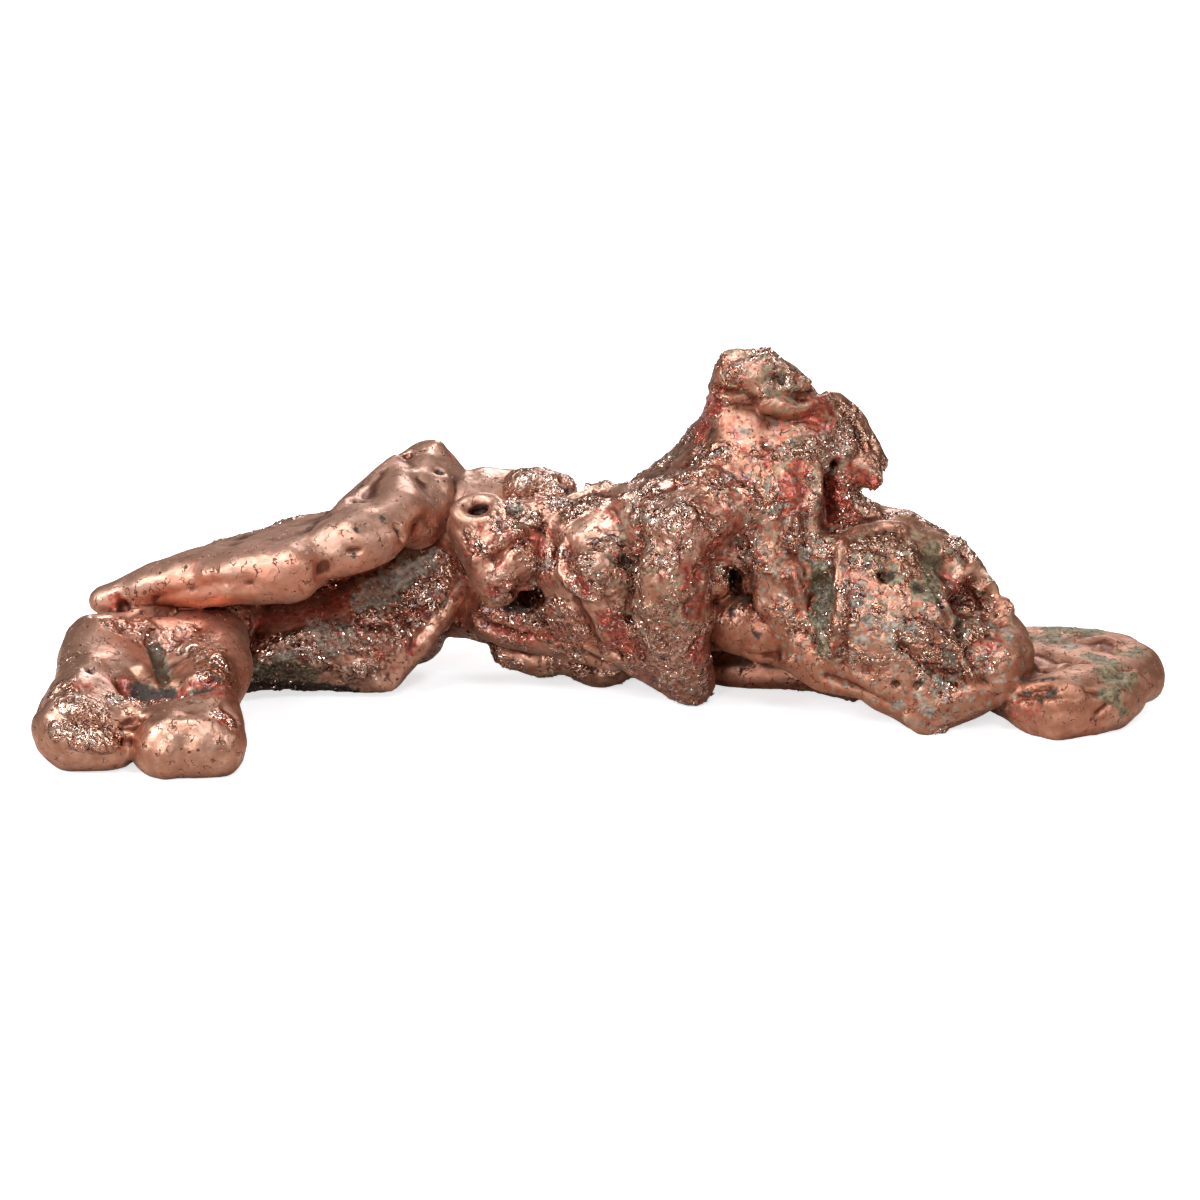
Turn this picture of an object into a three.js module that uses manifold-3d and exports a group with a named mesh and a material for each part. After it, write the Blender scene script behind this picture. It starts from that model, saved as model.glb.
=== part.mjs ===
// Native copper nugget: one solid casting of lobes, folds and rolled plates, lying on its low spots.
// Millimetres. +X runs along the nugget, +Y towards its back, +Z up. z = 0 is the surface it lies on.
//
// The metal is described by its swellings, the round thick places it froze into. A swelling is
// [x, y, z, radius]. Lobes are skins stretched tight over a few neighbouring swellings.

import * as THREE from "three";
import { ConvexGeometry } from "three/addons/geometries/ConvexGeometry.js";
import { mergeVertices } from "three/addons/utils/BufferGeometryUtils.js";
import Module from "manifold-3d";

const wasm = await Module();
wasm.setup();

const BIG_SWELLING = 3.4; // radius from which a swelling gets the finer ball
const WELD = 1e-4; // vertices closer than this are one vertex
const GROUND_SIZE = 200; // of the block that trims the low spots flat

// ---- solids ---------------------------------------------------------------------------------

// The closed mesh of a geometry as a solid.
function solidOf(geometry) {
  geometry.deleteAttribute("normal");
  geometry.deleteAttribute("uv");
  const merged = mergeVertices(geometry, WELD);
  return new wasm.Manifold(
    new wasm.Mesh({
      numProp: 3,
      vertProperties: new Float32Array(merged.attributes.position.array),
      triVerts: new Uint32Array(merged.index.array),
    }),
  );
}

// Points all over one swelling.
function ballPoints([x, y, z, radius]) {
  const ball = new THREE.IcosahedronGeometry(radius, radius < BIG_SWELLING ? 1 : 2);
  ball.translate(x, y, z);
  const { position } = ball.attributes;
  return Array.from({ length: position.count }, (_, i) =>
    new THREE.Vector3().fromBufferAttribute(position, i),
  );
}

// A skin stretched over all its swellings: a lump, or a plate with rounded edges.
function lump(...swellings) {
  return [solidOf(new ConvexGeometry(swellings.flatMap(ballPoints)))];
}

// A rope through its swellings, one after another.
function rope(...swellings) {
  return swellings.slice(1).flatMap((next, i) => lump(swellings[i], next));
}

// A bent plate between two edges that have the same number of swellings.
function plate(edge, otherEdge) {
  return edge
    .slice(1)
    .flatMap((_, i) => lump(edge[i], edge[i + 1], otherEdge[i], otherEdge[i + 1]));
}

function joined(solids) {
  return solids.reduce((whole, next) => whole.add(next));
}

// ---- front foot: a dished plate with two toes, at the front left ------------------------------

function frontFoot() {
  const leftToe = [-51, -16, 3.8, 4];
  const leftToeEnd = [-47.4, -16.6, 3, 3];
  const rightToe = [-41.8, -18.6, 3, 3.3];
  const rightToeEnd = [-37.3, -18.2, 3.1, 3.3];
  const leftRim = [-50.4, -10.5, 6, 3.3];
  const leftShoulder = [-50, -3, 8.6, 3.3];
  const rearRim = [-45, 0, 8.6, 3.1];
  const rightShoulder = [-38.2, 0, 8.1, 3.1];
  const rightRim = [-37.3, -6, 7, 3.1];
  const rightWaist = [-38.5, -12, 5.4, 3];
  const dishRear = [-44, -5, 5.2, 2.6];
  const dishMiddle = [-42, -9, 3.7, 2.6];
  const dishFront = [-44.8, -13, 3.3, 2.6];
  return [
    ...rope(leftToe, leftToeEnd),
    ...rope(rightToe, rightToeEnd),
    ...rope(leftToe, leftRim, leftShoulder, rearRim, rightShoulder, rightRim, rightWaist, rightToeEnd),
    ...lump(leftRim, leftShoulder, dishRear, dishMiddle, dishFront),
    ...lump(leftShoulder, rearRim, rightShoulder, dishRear),
    ...lump(rightRim, rightShoulder, dishRear, dishMiddle),
    ...lump(rightRim, rightWaist, dishMiddle, dishFront),
    ...lump(leftToe, leftToeEnd, leftRim, dishFront),
    ...lump(rightToe, rightToeEnd, rightWaist, dishFront),
  ];
}

// ---- left arm: a long tongue that lies over the foot and the slab -----------------------------

const armFront = {
  tip: [-49.7, 1.5, 12, 1.4],
  wrist: [-43.1, 1, 14, 2.5],
  middle: [-36.9, -1, 15, 2.7],
  bulge: [-30.7, 0, 15.4, 3.1],
  notch: [-28.3, 2, 16.4, 2.4],
  elbow: [-25.1, 3, 17.5, 3.1],
  hollow: [-22.4, 5, 18, 2.8],
  root: [-20.3, 8, 19.4, 2.6],
};

const armRear = {
  tip: [-46.4, 7.5, 11, 2],
  wrist: [-40.3, 10, 12.9, 2.3],
  middle: [-34.6, 12, 14.4, 2.4],
  bulge: [-30.3, 13, 15.7, 2.4],
  notch: [-26.5, 14, 15.9, 2.4],
  rise: [-23.5, 16, 18.5, 2.4],
  crest: [-20.5, 18, 21, 2.2],
  horn: [-17.6, 19, 22.5, 2.1],
  hornBack: [-16.4, 18.5, 20.6, 2.5],
};

function leftArm() {
  const f = armFront;
  const r = armRear;
  const wall = [-18.6, 12, 17.8, 3];
  const nub = [-20.6, 15.4, 19.8, 2.2];
  return [
    ...plate([f.tip, f.wrist, f.middle, f.bulge], [r.tip, r.wrist, r.middle, r.bulge]),
    ...plate([f.bulge, f.notch, f.elbow], [r.bulge, r.notch, r.notch]),
    ...plate([f.elbow, f.hollow, f.root], [r.notch, r.rise, r.rise]),
    ...lump(f.root, r.rise, r.crest, wall),
    ...lump(r.crest, r.horn, r.hornBack, wall, nub),
  ];
}

// ---- slab: the rough plate under the arm ------------------------------------------------------

const slab = {
  toe: [-22, 9, 2.6, 2.2],
  bottomMiddle: [-25.8, 9.5, 2.2, 2],
  bottomLeft: [-31.7, 8, 2.6, 1.8],
  hiddenEnd: [-36.5, 6, 3.4, 2],
  ridgeLeft: [-33.6, 6.6, 5.6, 2.5],
  ridgeMiddle: [-27.5, 7, 6.3, 2.5],
  ridgeRight: [-21.8, 8.6, 5.9, 2.2],
  heel: [-19.3, 10, 5.6, 2],
  sideLow: [-16.8, 12, 8.2, 2.1],
  sideMiddle: [-15.6, 13, 10.3, 2.1],
  sideHigh: [-16.8, 14, 12.8, 2.2],
  backLeft: [-34, 12, 8.2, 3],
  backMiddle: [-28, 14, 8.8, 3],
  backRight: [-22, 15, 10, 3],
  backHigh: [-19, 16, 12.6, 3],
};

function roughSlab() {
  const s = slab;
  return [
    ...plate(
      [s.hiddenEnd, s.bottomLeft, s.bottomMiddle, s.toe],
      [s.ridgeLeft, s.ridgeLeft, s.ridgeMiddle, s.ridgeRight],
    ),
    ...plate(
      [s.ridgeLeft, s.ridgeMiddle, s.ridgeRight, s.heel],
      [s.backLeft, s.backMiddle, s.backRight, s.backRight],
    ),
    ...lump(s.toe, s.ridgeRight, s.heel),
    ...lump(s.heel, s.sideLow, s.sideMiddle, s.backRight),
    ...lump(s.sideMiddle, s.sideHigh, s.backHigh, s.backRight),
  ];
}

// ---- apron: the back of the left half, a wall with a broad foot, bosses and a drip -------------

function leftApron() {
  const r = armRear;
  const s = slab;
  const lowTip = [-42.5, 7.5, 5, 3];
  const lowWrist = [-36, 12.5, 3.6, 2.8];
  const lowMiddle = [-27.5, 15.5, 3.6, 2.8];
  const lowBulge = [-19, 17.5, 4, 3];
  return [
    ...plate([r.tip, r.wrist, r.middle], [lowTip, lowTip, lowWrist]),
    ...plate([r.middle, r.notch, r.crest], [lowWrist, lowMiddle, lowBulge]),
    ...lump(lowTip, lowWrist, s.backLeft, s.hiddenEnd, [-42, 3, 7, 3]),
    ...lump(lowWrist, lowMiddle, s.backLeft, s.backMiddle, s.bottomMiddle),
    ...lump(lowMiddle, lowBulge, s.backRight, s.backHigh, s.heel),
    ...lump([-42, 11, 5.8, 2.8], [-36.6, 14.6, 2.5, 3], [-33, 15.6, 5.6, 2.6], [-38.4, 12.4, 9.6, 2.4]),
    ...lump([-30.4, 15, 12.4, 2.6], [-25, 17, 14.6, 2.6], [-27.4, 17.8, 8.8, 3]),
    ...rope([-27.4, 17.8, 8.8, 2.5], [-24.8, 19.8, 5, 2.3], [-24.6, 20.6, 2, 2.4]),
    ...rope([-19, 18.8, 18, 2.5], [-16.8, 20.8, 12, 3], [-18, 20.8, 6.8, 3.2]),
  ];
}

// ---- saddle: the smooth neck behind, between the arm and the body -----------------------------

function saddle() {
  const lobe = [-11.8, 19, 19, 2.6];
  const left = [-15.2, 16.5, 18, 3];
  const right = [-7, 19, 18, 3];
  const low = [-13.6, 19, 11.5, 4];
  const foot = [-14.6, 19, 6.8, 3.4];
  return [
    ...lump(armRear.hornBack, left, low),
    ...lump(lobe, left, low, right),
    ...lump(low, foot, slab.backHigh),
    ...lump([-11.4, 20, 15.6, 3], [-9.4, 20.6, 11.6, 2.8], lobe),
  ];
}

// ---- body: the rough ribbed middle -----------------------------------------------------------

const body = {
  snout: [-12.7, 6, 18.2, 2.7],
  snoutChin: [-10.4, 4, 13.9, 2.5],
  snoutCheek: [-8.6, 3.6, 16, 2.4],
  ridgeLeft: [-9.4, 6.6, 19, 2.2],
  ridgeMiddle: [-4, 6.2, 18.9, 2.2],
  ridgeRight: [2, 5.4, 20.6, 2.3],
  ridgeEnd: [9, 4, 22.4, 2.4],
  groove: [-5.6, 6.4, 15.4, 2.6],
  patch: [-1, 2.6, 17.9, 2.4],
  patchRight: [2.2, 2.8, 18.6, 2.2],
  lens: [-0.6, 0.8, 14.9, 2.5],
  lensRight: [1.8, 1, 14.6, 2.3],
  ribHigh: [-4.4, 4.6, 13.4, 2.2],
  ribLow: [-2.4, 4.6, 9, 2.2],
  bulge: [1.6, 2.2, 10.2, 2.5],
  bulgeFoot: [2.4, 4.4, 6.6, 2.2],
  crease: [4, 4.6, 15, 3.2],
  coreLeft: [-6, 12, 14, 5],
  core: [6, 11, 15, 6.5],
  coreRight: [17, 11, 15.5, 6.5],
  legTop: [7.6, -0.6, 20, 3.3],
  legMiddle: [7.3, -1.4, 15, 3.5],
};

function middle() {
  const b = body;
  const knobLeft = [-7.8, 12, 20.9, 2.3];
  const knobRight = [-4.4, 12, 20.2, 2.2];
  return [
    ...lump(b.snout, b.snoutChin, b.snoutCheek, b.ridgeLeft, b.coreLeft),
    ...lump(b.ridgeLeft, b.ridgeMiddle, b.groove, b.coreLeft),
    ...lump(b.ridgeMiddle, b.ridgeRight, b.patch, b.patchRight, b.core),
    ...lump(b.patch, b.patchRight, b.lens, b.lensRight, b.core),
    ...lump(b.groove, b.ribHigh, b.ribLow, b.coreLeft),
    ...lump(b.lens, b.lensRight, b.ribHigh, b.ribLow, b.bulge),
    ...lump(b.bulge, b.bulgeFoot, b.ribLow, b.core),
    ...lump(b.ridgeRight, b.ridgeEnd, b.legTop, b.crease, b.core),
    ...lump(b.crease, b.legMiddle, b.bulgeFoot, b.core),
    ...lump(knobLeft, knobRight, [-6, 14, 17, 3]),
  ];
}

// ---- belly: what hangs under the middle, and the two rolls it ends in -------------------------

function belly() {
  const left = [-10.2, 9, 8.5, 2.8];
  const centre = [-4.1, 8.5, 7.2, 3];
  const right = [1.4, 7, 5.6, 2.4];
  const rolls = [
    [-9.6, 12.6, 3.6, 1.7],
    [-6, 12, 2.6, 1.6],
    [-3, 12.6, 2.7, 1.7],
    [0.4, 12.2, 1.5, 1.7],
    [3.4, 11.6, 3, 1.7],
  ];
  return [
    ...lump(left, centre, body.coreLeft, [-13, 16, 7, 3]),
    ...lump(centre, right, body.core, body.coreLeft),
    ...rope(...rolls),
    ...plate(rolls, rolls.map(([x, y, z, radius]) => [x, y + 5, z + 4, radius + 1])),
  ];
}

// ---- leg: the pillar in the middle, down to its blunt foot ------------------------------------

function leg() {
  const knee = [8, 1, 8.6, 3];
  const foot = [9.2, 5.4, 2.4, 2.5];
  return [
    ...rope(body.legTop, body.legMiddle, knee, foot),
    ...lump(body.bulgeFoot, knee, foot, [5.4, 5.4, 5.6, 2.3]),
    ...lump(body.legMiddle, knee, body.bulgeFoot, body.core),
  ];
}

// ---- peak: the tall curled crest ---------------------------------------------------------------

const peak = {
  curlLeft: [13.5, 7.4, 33.9, 2.3],
  curlMiddle: [16.4, 7, 34.1, 2.4],
  curlRight: [19.2, 7.6, 32.3, 2.2],
  neckLeft: [13.6, 9.6, 31, 2.5],
  neckRight: [19, 9.8, 30, 2.4],
  flankHigh: [11.9, 12, 27.7, 2],
  flankMiddle: [8.8, 12, 23.3, 2.2],
  flankLow: [4.7, 11, 20.2, 2.4],
  shoulderHigh: [23, 9, 29.6, 1.8],
  shoulderMiddle: [25.4, 9, 27.5, 1.8],
  shoulderLow: [26.9, 8, 24.7, 1.5],
  shoulderTip: [27.5, 7, 23.2, 1.1],
  faceHighLeft: [13.8, 6.6, 27, 2.6],
  faceHighRight: [19.6, 6.2, 27, 2.4],
  faceMiddle: [15.4, 3.2, 21.8, 2.8],
  faceLeft: [10.6, 3.4, 22.4, 2.8],
  ribHigh: [20.2, 3.4, 22.6, 2],
  ribLow: [20.2, 1.8, 17, 2.2],
  recess: [22.6, 6.8, 21.4, 2.2],
  notchLeft: [24.4, 6.4, 18.2, 2.1],
  notchRight: [29, 7, 18, 2],
  backHigh: [17, 14.5, 27.5, 3.4],
  backLow: [16, 16.5, 18, 5],
};

function crest() {
  const p = peak;
  return [
    ...lump(p.curlLeft, p.curlMiddle, p.neckLeft),
    ...lump(p.curlMiddle, p.curlRight, p.neckRight, p.neckLeft),
    ...rope(p.neckRight, p.shoulderHigh, p.shoulderMiddle, p.shoulderLow, p.shoulderTip),
    ...lump(p.neckLeft, p.neckRight, p.faceHighLeft, p.faceHighRight, p.backHigh),
    ...lump(p.flankHigh, p.neckLeft, p.faceHighLeft, p.backHigh),
    ...lump(p.neckRight, p.shoulderHigh, p.shoulderMiddle, p.faceHighRight, p.backHigh),
    ...lump(p.shoulderMiddle, p.shoulderLow, p.recess, p.faceHighRight),
    ...lump(p.flankHigh, p.flankMiddle, p.faceHighLeft, p.faceLeft, p.backHigh),
    ...lump(p.flankMiddle, p.flankLow, p.faceLeft, body.ridgeEnd, body.core),
    ...lump(p.faceHighLeft, p.faceHighRight, p.faceMiddle, p.ribHigh, body.coreRight),
    ...lump(p.faceHighLeft, p.faceLeft, p.faceMiddle, body.core, p.backHigh),
    ...lump(p.faceHighRight, p.recess, p.backHigh, body.coreRight),
    ...lump(p.faceMiddle, p.ribHigh, p.ribLow, body.coreRight),
    ...lump(p.recess, p.notchLeft, p.notchRight, body.coreRight),
    ...lump(p.faceLeft, p.faceMiddle, body.legTop, body.ridgeEnd, body.core),
    ...lump(p.backHigh, p.backLow, p.flankMiddle, body.core, body.coreRight),
  ];
}

// ---- right flank: the broad face that falls from the peak to the ground ------------------------

const flank = {
  rimHigh: [30.8, 6, 18.2, 2],
  rimUpper: [33.8, 5, 16.7, 2.1],
  rimMiddle: [36.3, 4.4, 13.8, 2],
  rimLower: [38.6, 2.8, 10.8, 2],
  rimLow: [41, 1, 8.2, 2.2],
  lobeRight: [41.2, -0.8, 7.2, 2.6],
  lobeLow: [39.8, -2.6, 5, 2.6],
  lobeMiddle: [35.9, -3.2, 3.7, 2.6],
  lobeToe: [32.9, -3.2, 2.6, 3],
  faceTop: [25.4, 1.2, 16.2, 2.4],
  faceTopRight: [30, 2.6, 16.4, 2.2],
  faceLeft: [24.6, -1.4, 11, 2.5],
  faceMiddle: [28.2, -2.2, 10, 2.8],
  faceRight: [33, -1.6, 11, 2.7],
  fold: [36, -1.6, 8.2, 2.4],
  hemRight: [27, -2.4, 5, 2.4],
  hemMiddle: [23, -1.2, 5.3, 2.1],
  hemLeft: [20, 0.8, 6.2, 1.8],
  ribHigh: [19.4, 1.2, 13.6, 2],
  ribLow: [20, 0.6, 9, 2],
  groove: [21.8, 3.2, 12, 2.6],
  lowFaceHigh: [16.4, 1.8, 16.2, 2],
  lowFaceMiddle: [17, 1.6, 13.2, 1.9],
  lowFaceLow: [18.4, 1.4, 10.4, 1.7],
  saddleStart: [10.8, 6.6, 7.8, 2.2],
  saddleLeft: [13.7, 5.6, 7.7, 2.2],
  saddleMiddle: [16.6, 4.2, 7.2, 1.9],
  caveBack: [14.5, 8, 12, 3],
  core: [27, 10, 13, 6.5],
  coreRight: [34, 8, 9, 5.5],
};

function rightFlank() {
  const f = flank;
  return [
    ...lump(peak.notchLeft, peak.notchRight, f.faceTop, f.faceTopRight, f.core),
    ...lump(f.rimHigh, f.rimUpper, f.faceTopRight, peak.notchRight, f.core),
    ...lump(f.rimUpper, f.rimMiddle, f.core),
    ...lump(f.rimMiddle, f.rimLower, f.coreRight),
    ...lump(f.rimLower, f.rimLow, f.coreRight),
    ...lump(f.faceTop, f.faceTopRight, f.faceMiddle, f.faceRight, f.core),
    ...lump(f.faceTop, f.faceLeft, f.faceMiddle, f.core),
    ...lump(f.faceRight, f.fold, f.coreRight),
    ...lump(f.rimLow, f.lobeRight, f.lobeLow, f.fold, f.coreRight),
    ...lump(f.lobeLow, f.lobeMiddle, f.fold, f.lobeToe),
    ...lump(f.faceMiddle, f.faceRight, f.fold, f.lobeToe, f.hemRight, f.coreRight),
    ...lump(f.faceLeft, f.faceMiddle, f.hemRight, f.hemMiddle, f.core),
    ...lump(f.groove, f.faceLeft, f.hemMiddle, f.core),
    ...lump(f.ribHigh, f.ribLow, f.groove),
    ...lump(peak.ribLow, f.ribHigh, f.groove, f.faceTop, body.coreRight),
    ...lump(f.ribLow, f.hemLeft, f.hemMiddle, f.groove),
    ...rope(f.saddleStart, f.saddleLeft, f.saddleMiddle, f.hemLeft),
    ...lump(f.saddleStart, f.saddleLeft, f.caveBack),
    ...lump(f.saddleLeft, f.saddleMiddle, f.ribLow, f.caveBack),
    ...lump(f.lowFaceHigh, f.lowFaceMiddle, f.ribHigh, peak.ribLow, peak.faceMiddle, body.coreRight),
    ...lump(f.lowFaceMiddle, f.lowFaceLow, f.ribHigh, f.ribLow, body.coreRight),
    ...lump(f.caveBack, f.ribLow, body.coreRight),
  ];
}

// ---- right foot: the smooth plate that comes out from under the flank --------------------------

function rightFoot() {
  const front = [45.7, -5.2, 2.9, 3.4];
  const frontLeft = [43.2, -3.8, 2.7, 2.7];
  const frontRight = [50.6, -3.2, 3, 3.3];
  const corner = [52.8, 0.2, 3.6, 2.7];
  const backLobe = [54.9, 4, 4.3, 2.2];
  const backLobeFront = [55.1, 2.2, 3.5, 2];
  const rearLeft = [46.2, 10, 4.7, 2.2];
  const rearMiddle = [50.3, 10, 4.3, 2.2];
  const rearRight = [53.6, 9.2, 4.4, 2];
  const middleFront = [48.5, 2, 3.6, 2.8];
  const underRight = [40.4, 3, 3, 2.7];
  const underMiddle = [33.5, 5, 2.4, 2.4];
  const underLeft = [25.4, 7, 2.2, 2];
  const finMiddle = [22, 8.6, 2.2, 1.6];
  const finTip = [11, 11.6, 1.9, 1.4];
  return [
    ...lump(front, frontLeft, middleFront),
    ...lump(front, frontRight, middleFront),
    ...lump(frontRight, corner, middleFront),
    ...lump(corner, backLobeFront, backLobe, middleFront),
    ...lump(backLobe, rearRight, rearMiddle, middleFront),
    ...lump(rearMiddle, rearLeft, middleFront),
    ...lump(rearLeft, middleFront, frontLeft, underRight),
    ...lump(underRight, underMiddle, [36, 13, 3.2, 3.2], rearLeft),
    ...lump(underMiddle, underLeft, flank.core, flank.coreRight),
    ...lump(underLeft, finMiddle, [24, 15, 4, 3]),
    ...rope(finMiddle, finTip),
    ...lump(finTip, finMiddle, [13.4, 17, 4, 3], [24, 15, 4, 3]),
  ];
}

// ---- back: the hidden side, a wall with bosses and folds, standing on blunt rear feet ----------

function back() {
  const foldLeft = [-7, 17, 12, 4.4];
  const foldMiddle = [6, 17, 11, 5];
  const foldRight = [22, 16, 11, 5.2];
  const wallRight = [35, 12, 7, 4];
  const hemLeft = [-6, 18.5, 4.5, 3];
  const hemMiddle = [9, 19, 4.5, 3.4];
  const hemRight = [26, 17, 4.2, 3.2];
  return [
    ...lump(body.coreLeft, foldLeft, [-7, 18.5, 17.6, 3]),
    ...lump(foldLeft, hemLeft, [-14, 19, 6.8, 3.4]),
    ...lump(body.coreLeft, body.core, foldMiddle, foldLeft),
    ...lump(foldLeft, foldMiddle, hemLeft, hemMiddle),
    ...lump(body.core, body.coreRight, foldMiddle, peak.backLow),
    ...lump(foldMiddle, peak.backLow, hemMiddle),
    ...lump(body.coreRight, peak.backLow, foldRight, flank.core),
    ...lump(foldRight, hemRight, hemMiddle, peak.backLow),
    ...lump(foldRight, flank.core, flank.coreRight, wallRight),
    ...lump(wallRight, hemRight, foldRight, flank.coreRight),
    ...lump([-5.6, 18.6, 13, 3.2], [-1, 20.4, 9, 3.4], [-6.4, 20.8, 6, 3]),
    ...rope([-1, 20.6, 8.6, 3], [1.6, 22.6, 4.6, 2.8], [0.8, 23.2, 2.3, 2.7]),
    ...rope([1.6, 16.4, 15.6, 2.8], [7.2, 18, 18.8, 2.6], [11.4, 17.2, 24.6, 2.6], [15.6, 15, 29, 2.6]),
    ...lump([13.6, 19.8, 16, 3.3], [18.8, 20.4, 13, 3.3], [15, 21.2, 9.6, 3]),
    ...rope([15, 21.4, 9.6, 2.8], [12.2, 23, 6, 2.6], [13, 23.6, 2.3, 2.7]),
    ...rope([20.6, 13.8, 27, 2.3], [23.6, 16.2, 21, 2.6], [22.2, 19.4, 15.6, 2.6]),
    ...lump([23.4, 20, 6, 3], [29, 18.8, 3, 3.2], [26.8, 18, 9, 3.2]),
    ...lump([28.6, 13, 16, 2.6], [33, 14.8, 10.4, 2.8], [30, 16.6, 8, 2.8]),
    ...rope([35.6, 10, 11.6, 2.4], [38.4, 12.6, 6.6, 2.6], [40, 13.4, 2.3, 2.7]),
  ];
}

// ---- the nugget --------------------------------------------------------------------------------

// Deep places taken out of the lobes.
function hollows() {
  return [
    ...lump([-8.2, 2.8, 12, 1.2], [-5.8, 4.4, 12, 1.2], [-6.6, 8, 11.4, 1]), // dark hole under the snout
    ...lump([-12.8, 4.4, 20.8, 1.4], [-11.2, 6.6, 20.8, 1.2]), // eye on top of the snout
    ...lump([13.4, 0, 15.4, 1.3], [13, 5, 14.4, 1.3], [13.2, 2.6, 11.8, 1.2]), // cave beside the leg
    ...lump([36.6, 0.4, 14, 1.4], [38.4, -0.2, 12, 1.5], [39.6, -0.4, 10.4, 1.1]), // hollow inside the rim
  ];
}

// Everything below the surface the nugget lies on.
function ground() {
  const block = new THREE.BoxGeometry(GROUND_SIZE, GROUND_SIZE, GROUND_SIZE);
  block.translate(0, 0, -GROUND_SIZE / 2);
  return solidOf(block);
}

function nuggetSolid() {
  const lobes = joined([
    ...frontFoot(),
    ...leftArm(),
    ...roughSlab(),
    ...leftApron(),
    ...saddle(),
    ...middle(),
    ...belly(),
    ...leg(),
    ...crest(),
    ...rightFlank(),
    ...rightFoot(),
    ...back(),
  ]);
  return lobes.subtract(joined(hollows())).subtract(ground());
}

// The solid's mesh as a three.js geometry.
function geometryOf(solid) {
  const mesh = solid.getMesh();
  const geometry = new THREE.BufferGeometry();
  geometry.setAttribute("position", new THREE.BufferAttribute(mesh.vertProperties, 3));
  geometry.setIndex(new THREE.BufferAttribute(mesh.triVerts, 1));
  geometry.computeVertexNormals();
  return geometry;
}

// The same geometry with the origin under the middle of its length and depth.
function centred(geometry) {
  geometry.computeBoundingBox();
  const middle = geometry.boundingBox.getCenter(new THREE.Vector3());
  return geometry.translate(-middle.x, -middle.y, 0);
}

const copper = new THREE.MeshStandardMaterial({ color: 0xb5745f, roughness: 0.35, metalness: 1 });
const nugget = new THREE.Mesh(centred(geometryOf(nuggetSolid())), copper);
nugget.name = "copper_nugget";

const part = new THREE.Group();
part.add(nugget);

export default part;
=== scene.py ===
"""Native copper nugget: one lump of melted-looking metal on a pale table, with minerals in its hollows.

Places on the nugget are spots: millimetres from its left end, from its front and above the table.
"""

import math
from functools import partial

import bmesh
import bpy
import numpy as np
from mathutils import Matrix, Vector, noise


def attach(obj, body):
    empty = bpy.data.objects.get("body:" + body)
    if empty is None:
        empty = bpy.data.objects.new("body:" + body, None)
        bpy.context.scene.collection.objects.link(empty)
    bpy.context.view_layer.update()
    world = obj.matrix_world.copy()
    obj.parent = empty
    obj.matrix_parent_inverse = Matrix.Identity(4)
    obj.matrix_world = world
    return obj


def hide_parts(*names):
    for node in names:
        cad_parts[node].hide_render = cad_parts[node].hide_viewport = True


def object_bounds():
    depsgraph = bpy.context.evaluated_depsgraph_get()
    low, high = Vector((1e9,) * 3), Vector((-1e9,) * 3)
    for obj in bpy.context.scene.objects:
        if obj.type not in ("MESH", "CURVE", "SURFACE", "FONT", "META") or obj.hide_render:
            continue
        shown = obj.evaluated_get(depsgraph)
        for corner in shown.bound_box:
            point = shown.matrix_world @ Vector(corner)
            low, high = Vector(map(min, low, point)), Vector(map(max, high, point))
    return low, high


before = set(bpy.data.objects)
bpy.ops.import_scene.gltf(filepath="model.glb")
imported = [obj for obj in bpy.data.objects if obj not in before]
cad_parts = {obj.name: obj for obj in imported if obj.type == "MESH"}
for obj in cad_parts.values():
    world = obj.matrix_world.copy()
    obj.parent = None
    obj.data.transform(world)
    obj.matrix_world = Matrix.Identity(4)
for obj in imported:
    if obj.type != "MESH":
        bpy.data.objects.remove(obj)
CAD_LOW, CAD_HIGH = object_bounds()

MM = 0.001
NUGGET = "copper_nugget"
ROOT = "root"


def spot(across, back, up):
    """The point so many millimetres from the nugget's left end, from its front and above the table."""
    return Vector(CAD_LOW) + Vector((across, back, up)) * MM


# ---------------------------------------------------------------- nodes

def link_in(tree, socket, value):
    """Puts a number or colour on a socket, or links another socket to it."""
    if isinstance(value, bpy.types.NodeSocket):
        tree.links.new(value, socket)
    else:
        socket.default_value = value


def add_node(tree, kind, sockets=None, **settings):
    """A new node with its settings made and its sockets filled or linked."""
    node = tree.nodes.new(kind)
    for name, value in settings.items():
        setattr(node, name, value)
    for name, value in (sockets or {}).items():
        link_in(tree, node.inputs[name], value)
    return node


def math_node(tree, operation, first, second=0.0, third=0.0, clamp=False):
    """The result of one sum on numbers."""
    sockets = {0: first, 1: second, 2: third}
    return add_node(tree, "ShaderNodeMath", sockets, operation=operation, use_clamp=clamp).outputs[0]


def times(tree, first, second):
    """One number times another."""
    return math_node(tree, "MULTIPLY", first, second)


def highest(tree, first, second):
    """The greater of two numbers."""
    return math_node(tree, "MAXIMUM", first, second)


def rest_of(tree, value):
    """What is left of 1."""
    return math_node(tree, "SUBTRACT", 1.0, value)


def vector_node(tree, operation, **sockets):
    """The result of one sum on vectors, given as A and B or as A and Scale."""
    node = add_node(tree, "ShaderNodeVectorMath", operation=operation)
    places = {"A": 0, "B": 1, "Scale": "Scale"}
    for name, value in sockets.items():
        link_in(tree, node.inputs[places[name]], value)
    return node.outputs["Vector"]


def mix(kind, tree, amount, first, second):
    """The first value turning to the second as the amount goes from 0 to 1."""
    sockets = {"Factor": amount, "A": first, "B": second}
    return add_node(tree, "ShaderNodeMix", sockets, data_type=kind).outputs["Result"]


mix_colour = partial(mix, "RGBA")
mix_value = partial(mix, "FLOAT")


def grade(tree, value, low, high, least=0.0, most=1.0):
    """Stretches a value so that low becomes the least and high becomes the most."""
    sockets = {"Value": value, "From Min": low, "From Max": high, "To Min": least, "To Max": most}
    return add_node(tree, "ShaderNodeMapRange", sockets).outputs["Result"]


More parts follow.
